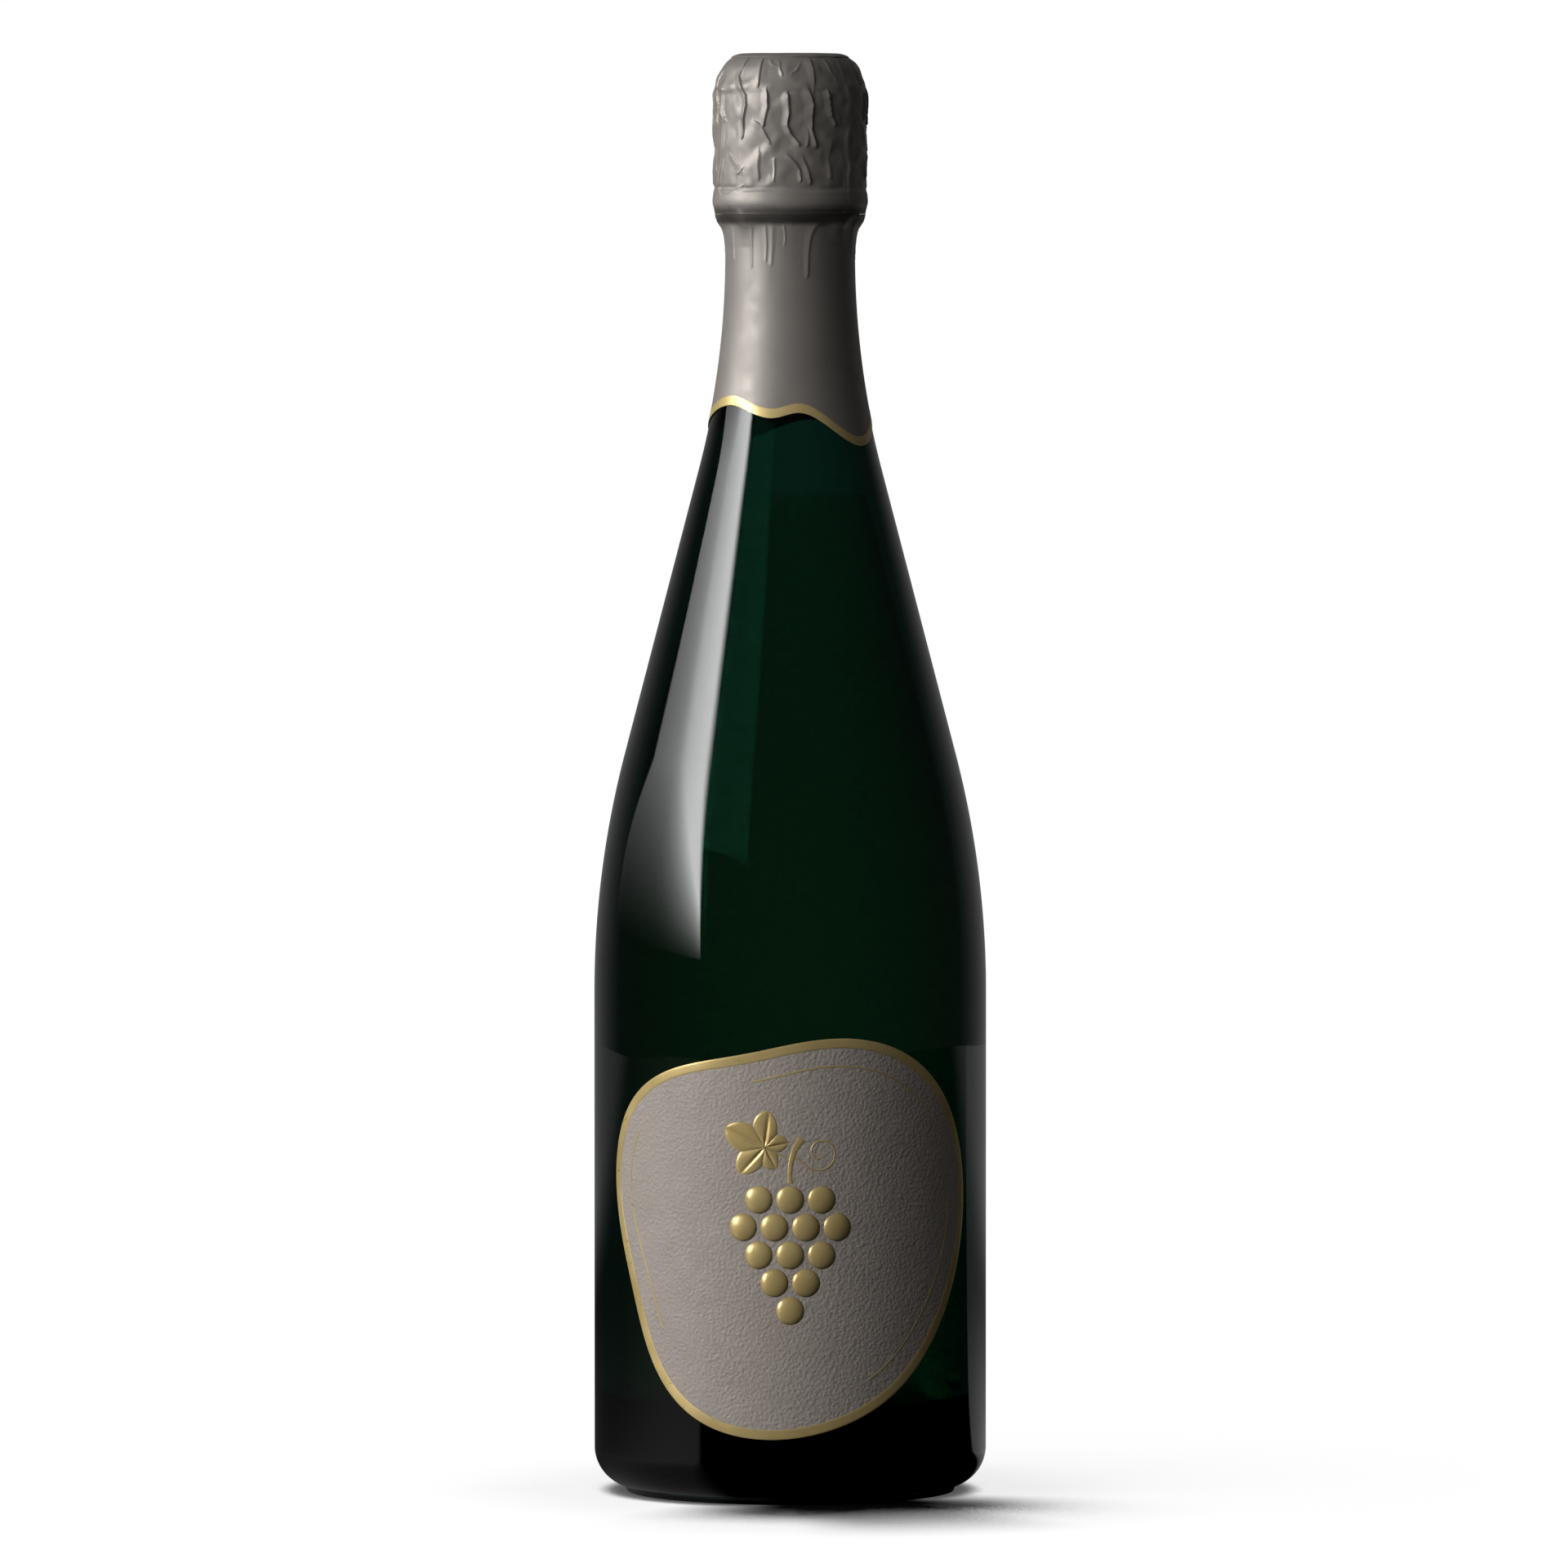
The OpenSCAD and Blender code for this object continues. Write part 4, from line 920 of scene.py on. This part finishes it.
def stem_parts():
    """The stem, and the tendril that curls beside it."""
    rows = np.array(STEM_LINE_SHARES)
    places = np.linspace(0, len(rows) - 1, 24)
    stem = np.stack([np.interp(places, range(len(rows)), rows[:, i]) for i in range(3)], axis=1)
    share = np.linspace(0, 1, 90)
    reach = TENDRIL_REACH_SHARES[0] + (TENDRIL_REACH_SHARES[1] - TENDRIL_REACH_SHARES[0]) * share
    curl = TENDRIL_PLACE_SHARES + polar(reach, TENDRIL_START + TENDRIL_SWEEP * share)
    line = np.concatenate([np.linspace(TENDRIL_FOOT_SHARES, curl[0], 6)[:-1], curl])
    return [strip(on_bunch(stem[:, :2]), BERRY_PITCH * stem[:, 2]),
            strip(on_bunch(line), [INNER_LINE_W / 2] * len(line))]


def make_label_gilding():
    parts = [band(0, BORDER_W, 0, FULL_TURN, BORDER_COLUMNS, True)]
    for start, end in INNER_LINE_SPANS:
        parts.append(band(INNER_LINE_INSET, INNER_LINE_W, start, end, (end - start) * 2, False))
    parts += berry_parts() + leaf_parts() + stem_parts()
    return make_object("label_gilding", "embossed", joined([part[:2] for part in parts]), "bottle",
                       60, np.concatenate([part[2] for part in parts]))


# Cork, plaque and wires
def make_cork():
    head = [(min(r, CORK_HEAD_R), z) for r, z in crown(-CORK_HEAD_INSET, PLAQUE_TOP_Z - 2 * CROWN_CORNER_R)]
    low_z = CORK_END_Z + 2 * CORK_DISC_H
    outline = ([(0, low_z), (CORK_R, low_z), (CORK_R, CORK_SEAT_Z), (LIP_R - LIP_ROUND_R, CORK_SEAT_Z)]
               + arc(CORK_HEAD_R - CORK_SWELL_H, CORK_SEAT_Z + CORK_SWELL_H, CORK_SWELL_H, -60, 0)
               + head + [(0, head[-1][1])])
    return lathe("cork_body", "granules", outline, "cork", 128)


def plaque_skin(distance):
    z = PLAQUE_TOP_Z + distance
    groove_r = crown_r - PLAQUE_GROOVE_INSET
    groove = [(groove_r + PLAQUE_GROOVE_W / 2 * c, z - PLAQUE_GROOVE_DEPTH * (1 - c * c))
              for c in np.linspace(1, -1, 9)]
    return crown(distance, PLAQUE_RIM_Z) + groove + [(0, z)]


def make_plaque():
    return lathe("muselet_plaque", "pressed", plaque_skin(0)[::-1] + plaque_skin(-PLAQUE_T), "cage",
                 192, 50)


def twisted(r, pair_r, side, turns, low_z, high_z, steps):
    """One strand of a twisted pair of wires, from low_z to high_z, with +x outwards."""
    places = [(2 * pi * turns * i / steps, low_z + (high_z - low_z) * i / steps) for i in range(steps + 1)]
    return [(r + side * pair_r * sin(turn), side * pair_r * cos(turn), z) for turn, z in places]


def leg_strand(side):
    """One strand of a leg, from the crown down to its eyelet, with +x outwards."""
    twist_z = CROWN_WIRE_Z - LEG_SPLAY_H
    shares = [i / 12 for i in range(12)]
    splay = [(CROWN_WIRE_R + (LEG_R - CROWN_WIRE_R) * ease(share),
              side * (PAIR_R + LEG_SPLAY_H * (1 - sin(pi / 2 * share))),
              twist_z + LEG_SPLAY_H * cos(pi / 2 * share)) for share in shares]
    leg = twisted(LEG_R, PAIR_R, side, LEG_TURNS, twist_z, LEG_FOOT_Z + WIRE_R, 100)
    return splay + leg + [(*leg[-1][:2], LEG_FOOT_Z)]


def turned(points, angle):
    c, s = cos(radians(angle)), sin(radians(angle))
    return [(x * c - y * s, x * s + y * c, z) for x, y, z in points]


def ring_line(r, z, turns):
    return [(r * cos(t), r * sin(t), z) for t in turns]


def frame_wire():
    """Up one leg, a quarter of the way round the crown, and down the next leg."""
    start = asin((PAIR_R + LEG_SPLAY_H) / CROWN_WIRE_R)
    span = pi / 2 - 2 * start
    turns = [start + span * i / 24 for i in range(1, 24)]
    top = ring_line(CROWN_WIRE_R, CROWN_WIRE_Z, turns)
    return leg_strand(1)[::-1] + top + turned(leg_strand(-1), QUARTER_TURN)


def eyelet():
    """The bend of a leg's wire round the belt."""
    outer, inner = leg_strand(1)[-1], leg_strand(-1)[-1]
    turns = [-2 * pi * EYELET_SWEEP_SHARE * i / 30 for i in range(31)]
    bend = [(BELT_R + EYELET_R * cos(a), 0, BELT_Z + EYELET_R * sin(a)) for a in turns]
    low_z = LEG_FOOT_Z - WIRE_R
    return [outer, (*outer[:2], low_z)] + bend + [(*inner[:2], low_z), inner]


def smoothed(points, passes=2):
    """A wire's line with its corners cut, and its ends kept."""
    line = np.asarray(points, dtype=float)
    for _ in range(passes):
        cut = np.stack([0.75 * line[:-1] + 0.25 * line[1:], 0.25 * line[:-1] + 0.75 * line[1:]], axis=1)
        line = np.concatenate([line[:1], cut.reshape(-1, 3), line[-1:]])
    return line


def wire_piece(node, made_how, shape, body="cage"):
    return make_object(node, made_how, shape, body, 50)


def make_cage():
    quarters = [LEG_TURN_ANGLE + QUARTER_TURN * (i - 1) for i in range(4)]
    pieces = [wire_piece("muselet_wire_" + side, "drawn", tube(turned(frame_wire(), angle), WIRE_R))
              for side, angle in zip(("right", "back", "left", "front"), quarters)]
    eyelets = [tube(smoothed(turned(eyelet(), angle)), WIRE_R) for angle in quarters]
    pieces.append(wire_piece("muselet_leg_eyelets", "bent", joined(eyelets)))
    gap, start = degrees(belt_gap), EYE_TURN_ANGLE - QUARTER_TURN
    turns = np.radians(np.linspace(start + gap, start + FULL_TURN - gap, 160))
    belt = tube(ring_line(BELT_R, BELT_Z, turns), BELT_WIRE_R)
    pieces.append(wire_piece("muselet_belt", "drawn", belt))
    return pieces


def eye_strand(side):
    """One strand of the eye's stem, from the belt's end up past the ring, with +x outwards."""
    end_x, end_y = BELT_R * cos(belt_gap), BELT_R * sin(belt_gap)
    way_x, way_y = sin(belt_gap) * BELT_WIRE_R / 2, cos(belt_gap) * BELT_WIRE_R / 2
    line = [(end_x, end_y, BELT_Z), (end_x + way_x, end_y - way_y, BELT_Z),
            ((BELT_R + EYE_R) / 2, EYE_PAIR_R + BELT_WIRE_R / 2, BELT_Z + BELT_WIRE_R / 4),
            (EYE_R - BELT_WIRE_R / 4, EYE_PAIR_R, BELT_Z + BELT_WIRE_R),
            (EYE_R, EYE_PAIR_R, RING_Z), (EYE_R, EYE_PAIR_R, RING_TOP_Z - BELT_WIRE_R)]
    return [(x, side * y, z) for x, y, z in line] + twisted(
        EYE_TWIST_R, EYE_PAIR_R, side, EYE_TURNS, EYE_STEM_Z, EYE_STEM_Z + EYE_STEM_LEN, 54)


def make_eye():
    middle_z = EYE_STEM_Z + EYE_STEM_LEN + EYE_LOOP_LEN / 2
    turns = [2 * pi * i / 40 - pi / 2 for i in range(1, 40)]
    loop = [(EYE_TWIST_R, EYE_LOOP_HALF_W * cos(a), middle_z + EYE_LOOP_LEN / 2 * sin(a)) for a in turns]
    line = turned(smoothed(eye_strand(1) + loop + eye_strand(-1)[::-1]), EYE_TURN_ANGLE - QUARTER_TURN)
    return wire_piece("muselet_eye", "twisted", tube(line, BELT_WIRE_R), "eye")


# Materials
# Sockets of the Mix node when it mixes colours: its share, its two colours and its result
MIX_SHARE, MIX_A, MIX_B = 0, 6, 7
MIX_COLOUR = 2


def add_node(tree, kind, inputs=None, **settings):
    """A shader node; an input is a plain value or another node's socket."""
    made = tree.nodes.new("ShaderNode" + kind)
    for key, value in settings.items():
        setattr(made, key, value)
    for key, value in (inputs or {}).items():
        if isinstance(value, bpy.types.NodeSocket):
            tree.links.new(value, made.inputs[key])
        else:
            made.inputs[key].default_value = value
    return made


def start_material(name, **constants):
    """A material and its node tree, with the shader's constant values."""
    made = bpy.data.materials.new(name)
    made.use_nodes = True
    for key, value in constants.items():
        made.node_tree.nodes["Principled BSDF"].inputs[key.replace("_", " ")].default_value = value
    return made, made.node_tree


def place(tree, stretch=(1, 1, 1)):
    """Object coordinates, stretched."""
    where = add_node(tree, "TexCoord").outputs["Object"]
    return add_node(tree, "Mapping", {"Vector": where, "Scale": stretch}).outputs["Vector"]


def noise(tree, where, scale, detail=3.0, roughness=0.5, distortion=0.0):
    return add_node(tree, "TexNoise", {
        "Vector": where, "Scale": scale, "Detail": detail, "Roughness": roughness,
        "Distortion": distortion}).outputs["Fac"]


def ramp(tree, share, stops):
    """A colour ramp from (place, colour) stops."""
    made = add_node(tree, "ValToRGB", {"Fac": share})
    while len(made.color_ramp.elements) < len(stops):
        made.color_ramp.elements.new(0.5)
    for element, (position, colour) in zip(made.color_ramp.elements, stops):
        element.position = position
        element.color = (*colour, 1)
    return made.outputs["Color"]


def mapped(tree, value, low, high, start=0.0, end=1.0, step="SMOOTHSTEP"):
    """A number from start to end as a value goes from low to high, on a smooth step if not told else."""
    inputs = {"Value": value, "From Min": low, "From Max": high, "To Min": start, "To Max": end}
    return add_node(tree, "MapRange", inputs, interpolation_type=step).outputs["Result"]


def span(tree, share, low, high, start=0.3, end=0.7):
    """A number from low to high, evenly as a share goes from start to end."""
    return mapped(tree, share, start, end, low, high, "LINEAR")


def axis(tree, where, name):
    """One coordinate of a place or direction."""
    return add_node(tree, "SeparateXYZ", {"Vector": where}).outputs[name]


def bump(tree, height, distance, strength, below=None):
    inputs = {"Height": height, "Distance": distance, "Strength": strength}
    if below is not None:
        inputs["Normal"] = below
    return add_node(tree, "Bump", inputs).outputs["Normal"]


def finish_material(made, colour, roughness=None, normal=None):
    for socket, value in (("Base Color", colour), ("Roughness", roughness), ("Normal", normal)):
        if value is not None:
            made.node_tree.links.new(value, made.node_tree.nodes["Principled BSDF"].inputs[socket])
    return made


def tones(tree, where, dark, light, *pattern):
    """A colour that wanders from dark to light over a noise."""
    return ramp(tree, noise(tree, where, *pattern), [(0.3, dark), (0.7, light)])


def absorb(tree, colour, density):
    """Absorption in the depth of a clear material."""
    depth = add_node(tree, "VolumeAbsorption", {"Color": (*colour, 1), "Density": density})
    tree.links.new(depth.outputs[0], tree.nodes["Material Output"].inputs["Volume"])


def glass_material():
    made, tree = start_material("dark_green_glass", Transmission_Weight=1.0, IOR=1.52)
    absorb(tree, (0.0, 0.33, 0.27), density=650.0)
    where = place(tree)
    colour = tones(tree, where, (0.72, 0.92, 0.86), (0.8, 0.97, 0.92), 14)
    roughness = span(tree, noise(tree, where, 60, 5), 0.0, 0.03, 0.45, 0.8)
    return finish_material(made, colour, roughness, bump(tree, noise(tree, where, 22, 1), 0.0003, 0.3))


def wine_material():
    made, tree = start_material("wine", Transmission_Weight=1.0, IOR=1.34, Roughness=0.0)
    absorb(tree, (0.9, 0.72, 0.2), density=14.0)
    return finish_material(made, tones(tree, place(tree), (0.98, 0.95, 0.84), (1.0, 0.97, 0.88), 20))


# Mottled metals: their two tones, the noise between these, their range of roughness and its noise
MOTTLED = {
    "foil": ((0.3, 0.274, 0.25), (0.34, 0.312, 0.286), (70, 4), (0.44, 0.56), (240, 3)),
    "gold_leaf": ((0.66, 0.49, 0.2), (0.78, 0.6, 0.27), (90, 4), (0.26, 0.4), (400, 4)),
    "plaque_tin": ((0.62, 0.57, 0.46), (0.7, 0.65, 0.54), (120, 4), (0.24, 0.36), (500, 3)),
    "galvanised_wire": ((0.5, 0.51, 0.52), (0.68, 0.68, 0.68), (420, 4), (0.28, 0.46), (700, 4)),
}
# Heights, in metres, between which shade is painted into the foil's colour where it is tucked in under the
# ring:
# where this painted shade starts and ends below and above, how far its edges wander, and the share of the
# tone left
TUCK_LOW = (0.284, 0.285)
TUCK_HIGH = (0.2875, 0.2887)
TUCK_SWING = 0.0002
TUCK_SHADE_TONE = 0.33


def mottled(name, metallic):
    """A metal of uneven tone and roughness: its material, tree, coordinates, colour and roughness."""
    dark, light, tone_noise, rough, rough_noise = MOTTLED[name]
    made, tree = start_material(name, Metallic=metallic)
    where = place(tree)
    return (made, tree, where, tones(tree, where, dark, light, *tone_noise),
            span(tree, noise(tree, where, *rough_noise), *rough))


def foil_material():
    made, tree, where, colour, roughness = mottled("foil", 0.58)
    grain = noise(tree, place(tree, (1, 1, 0.45)), 1500, 2)
    creases = noise(tree, where, 260, 4, 0.6, 0.6)
    normal = bump(tree, grain, 0.00003, 0.35, bump(tree, creases, 0.0001, 0.3))
    # Painted shade: the foil's colour is darkened in a band under the ring
    level = maths(tree, "ADD", axis(tree, where, "Z"), span(tree, creases, -TUCK_SWING, TUCK_SWING))
    tuck_shade = times(tree, span(tree, level, 0.0, 1.0, *TUCK_LOW), span(tree, level, 1.0, 0.0, *TUCK_HIGH))
    tone = add_node(tree, "VectorMath", {
        0: colour, "Scale": linear(tree, tuck_shade, TUCK_SHADE_TONE - 1, 1.0)}, operation="SCALE").outputs["Vector"]
    return finish_material(made, tone, roughness, normal)


def gold_material():
    made, tree, where, colour, roughness = mottled("gold_leaf", 0.55)
    emboss = add_node(tree, "Attribute", attribute_name="emboss").outputs["Fac"]
    normal = bump(tree, noise(tree, where, 900, 3), 0.00005, 0.5, bump(tree, emboss, 1.0, 1.0))
    return finish_material(made, colour, roughness, normal)


def label_material():
    made, tree = start_material("label_paper", IOR=1.45)
    where = place(tree)
    colour = tones(tree, where, (0.285, 0.25, 0.222), (0.32, 0.282, 0.252), 160, 6, 0.6)
    cells = add_node(tree, "TexVoronoi", {"Vector": where, "Scale": 1500.0},
                     feature="SMOOTH_F1").outputs["Distance"]
    normal = bump(tree, noise(tree, where, 2000, 3, 0.6), 0.00009, 0.7, bump(tree, cells, 0.00025, 0.7))
    return finish_material(made, colour, span(tree, cells, 0.42, 0.62, 0.0, 0.7), normal)


def cork_material(name, scale, dark, light, streak):
    made, tree = start_material(name, IOR=1.4)
    where = place(tree, (1, 1, streak))
    cells = add_node(tree, "TexVoronoi", {"Vector": where, "Scale": scale})
    granule = add_node(tree, "SeparateColor", {"Color": cells.outputs["Color"]}).outputs["Red"]
    tone = ramp(tree, granule, [(0.0, dark), (0.35, light), (1.0, tuple(c * 0.8 for c in light))])
    pits = noise(tree, where, scale * 3, 4, 0.7)
    shade = ramp(tree, pits, [(0.36, (0.35, 0.3, 0.26)), (0.46, (1, 1, 1))])
    colour = add_node(tree, "Mix", {MIX_SHARE: 0.85, MIX_A: tone, MIX_B: shade},
                      data_type="RGBA", blend_type="MULTIPLY").outputs[MIX_COLOUR]
    normal = bump(tree, pits, 0.0003, 0.5, bump(tree, cells.outputs["Distance"], 0.0003, 0.4))
    return finish_material(made, colour, span(tree, pits, 0.9, 0.7), normal)


def tin_material():
    made, tree, _, colour, roughness = mottled("plaque_tin", 1.0)
    brushed = noise(tree, place(tree, (0.08, 1, 1)), 1600, 2)
    return finish_material(made, colour, roughness, bump(tree, brushed, 0.00002, 0.3))


def wire_material():
    made, tree, where, colour, roughness = mottled("galvanised_wire", 1.0)
    return finish_material(made, colour, roughness, bump(tree, noise(tree, where, 2200, 3), 0.00003, 0.4))


# Stage
def maths(tree, operation, a, b):
    return add_node(tree, "Math", {0: a, 1: b}, operation=operation).outputs[0]


def times(tree, a, b):
    return maths(tree, "MULTIPLY", a, b)


def linear(tree, value, slope, start):
    return maths(tree, "ADD", times(tree, value, slope), start)


def dot(tree, a, b):
    return add_node(tree, "VectorMath", {0: a, 1: b}, operation="DOT_PRODUCT").outputs["Value"]


def bare_tree(owner):
    """The emptied node tree of a material, world or lamp."""
    owner.use_nodes = True
    owner.node_tree.nodes.clear()
    return owner.node_tree


def light_path(tree):
    """The light path, and whether a ray is the camera's or came through something clear."""
    path = add_node(tree, "LightPath")
    return path, maths(tree, "MAXIMUM", path.outputs["Is Camera Ray"], path.outputs["Is Transmission Ray"])


def make_floor():
    """A round pale floor that runs out into plain white and keeps the object's shadow: the lamps' own,
    faintly, and a soft one where the object is near, mostly in front of it. Seen in the glass it is
    dark, with a pale card on the left and a pale far edge."""
    bpy.ops.mesh.primitive_circle_add(vertices=96, radius=FLOOR_R, fill_type="NGON")
    floor = bpy.context.object
    floor.name = "floor"
    made = bpy.data.materials.new("floor")
    tree = bare_tree(made)
    path, seen = light_path(tree)
    where = add_node(tree, "TexCoord").outputs["Object"]
    far = add_node(tree, "VectorMath", {0: where}, operation="LENGTH").outputs["Value"]
    way = add_node(tree, "VectorMath", {0: where}, operation="NORMALIZE").outputs["Vector"]
    open_sky = add_node(tree, "AmbientOcclusion", {"Distance": CONTACT_REACH}, samples=8).outputs["AO"]
    turn = dot(tree, way, CONTACT_WAY)
    level = maths(tree, "SUBTRACT", open_sky, mapped(tree, turn, *CONTACT_GAIN))
    front = times(tree, mapped(tree, level, *CONTACT_FADE), mapped(tree, turn, *CONTACT_TURN))
    shade = maths(tree, "MAXIMUM", front, mapped(tree, open_sky, *CONTACT_CORE))
    contact = maths(tree, "SUBTRACT", 1.0, shade)
    pale = linear(tree, times(tree, seen, times(tree, contact, FLOOR_WHITE)), 1.0, FLOOR_DARK)
    lit = add_node(tree, "BsdfDiffuse", {
        "Color": add_node(tree, "CombineXYZ", {"X": pale, "Y": pale, "Z": pale}).outputs[0]})
    fall = times(tree, mapped(tree, dot(tree, way, CARD_EDGE_NORMAL), *CARD_TURN),
                 times(tree, mapped(tree, far, *CARD_FAR), mapped(tree, far, *CARD_NEAR)))
    card = times(tree, mapped(tree, dot(tree, where, CARD_EDGE_NORMAL), *CARD_EDGE), fall)
    back = mapped(tree, axis(tree, where, "Y"), *FLOOR_BACK, 0.0, FAR_PANEL)
    shine = times(tree, path.outputs["Is Glossy Ray"], maths(tree, "ADD", card, back))
    glow = add_node(tree, "Emission", {
        "Strength": maths(tree, "MAXIMUM", shine, times(tree, seen, contact))})
    plain = times(tree, seen, mapped(tree, far, *FLOOR_FADE))
    amount = maths(tree, "MAXIMUM", plain, path.outputs["Is Glossy Ray"])
    mixed = add_node(tree, "MixShader", {0: amount, 1: lit.outputs[0], 2: glow.outputs[0]})
    add_node(tree, "OutputMaterial", {"Surface": mixed.outputs[0]})
    floor.data.materials.append(made)


def make_world():
    """White to the camera; a dim studio elsewhere, with a grey panel behind the bottle."""
    world = bpy.data.worlds.new("studio")
    bpy.context.scene.world = world
    tree = bare_tree(world)
    path, seen = light_path(tree)
    behind = axis(tree, add_node(tree, "TexCoord").outputs["Generated"], "Y")
    shine = times(tree, mapped(tree, behind, *WORLD_BACK, 0.0, FAR_PANEL), path.outputs["Is Glossy Ray"])
    soft = times(tree, path.outputs["Is Diffuse Ray"], WORLD_SOFT)
    white = maths(tree, "MAXIMUM", seen, maths(tree, "MAXIMUM", shine, soft))
    colour = ramp(tree, white, [(0.0, WORLD_DARK), (1.0, (1.0, 1.0, 1.0))])
    glow = add_node(tree, "Background", {"Color": colour, "Strength": 1.0})
    add_node(tree, "OutputWorld", {"Surface": glow.outputs[0]})


def aim(piece, target):
    piece.rotation_euler = (Vector(target) - piece.location).to_track_quat("-Z", "Y").to_euler()


def make_softbox(name, direction, distance, low_z, width, height, power):
    """An upright softbox that stands in a direction from the front, in degrees, and faces the axis."""
    lamp = bpy.data.lights.new(name, "AREA")
    lamp.shape = "RECTANGLE"
    lamp.size, lamp.size_y = width, height
    lamp.energy = power
    box = linked(name, lamp)
    t = radians(direction)
    middle = low_z + height / 2
    box.location = (distance * sin(t), -distance * cos(t), middle)
    aim(box, (0, 0, middle))
    return box


def fade_softbox(box):
    """Brightest towards the front edge, which is sharp low down and soft higher up. The rear edge steps
    in higher up, and the lower edge is soft, the more so towards the rear."""
    tree = bare_tree(box.data)
    where = add_node(tree, "NewGeometry").outputs["Parametric"]
    along = span(tree, axis(tree, where, "X"), -SOFTBOX_MARGIN, 1 + SOFTBOX_MARGIN, 1.0, 0.0)
    up = axis(tree, where, "Y")
    front = mapped(tree, along, *[linear(tree, up, *edge) for edge in SOFTBOX_FRONT])
    fall = mapped(tree, along, *SOFTBOX_FALL)
    rear_edge = mapped(tree, up, *SOFTBOX_REAR)
    rear = mapped(tree, maths(tree, "SUBTRACT", along, rear_edge), -SOFTBOX_REAR_W, 0.0, 1.0, 0.0)
    rise = maths(tree, "DIVIDE", up, linear(tree, along, *SOFTBOX_RISE))
    low = maths(tree, "POWER", maths(tree, "MINIMUM", rise, 1.0), SOFTBOX_RISE_POWER)
    strength = times(tree, times(tree, front, fall), times(tree, rear, low))
    glow = add_node(tree, "Emission", {"Strength": strength})
    add_node(tree, "OutputLight", {"Surface": glow.outputs[0]})


def make_camera():
    """The photograph's camera: long lens, level with the bottle's neck."""
    lens = bpy.data.cameras.new("camera")
    lens.sensor_width = SENSOR_W
    lens.lens = LENS_LEN
    camera = linked("camera", lens)
    camera.location = (CAMERA_X, -CAMERA_DISTANCE, CAMERA_Z)
    aim(camera, (CAMERA_X, 0, CAMERA_AIM_Z))
    bpy.context.scene.camera = camera


def paint(pieces, material):
    for piece in pieces:
        piece.data.materials.clear()
        piece.data.materials.append(material)


paint([make_glass()], glass_material())
paint([make_cap(), make_top_disc(), make_tear_tab(), make_collar()], foil_material())
paint([make_hem_gilding(), make_label_gilding()], gold_material())
paint([make_label()], label_material())
paint([make_cork()], cork_material("agglomerated_cork", 480.0, (0.3, 0.17, 0.08), (0.56, 0.38, 0.2), 1))
paint([make_plaque()], tin_material())
paint(make_cage() + [make_eye()], wire_material())

natural_cork = cork_material("natural_cork", 260.0, (0.36, 0.2, 0.1), (0.6, 0.42, 0.24), 2.4)
paint([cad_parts["cork_disc_upper"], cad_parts["cork_disc_lower"]], natural_cork)
paint([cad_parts["wine"]], wine_material())

make_floor()
make_world()
make_camera()
key = make_softbox("softbox_left", direction=-92, distance=1.25, low_z=0.13,
                   width=SOFTBOX_W * (1 + 2 * SOFTBOX_MARGIN), height=0.84, power=61)
fade_softbox(key)
fill = make_softbox("fill_left", direction=-46, distance=1.3, low_z=0.45, width=0.8, height=0.5, power=15)
fill.visible_glossy = False

bpy.context.scene.view_settings.view_transform = "Standard"
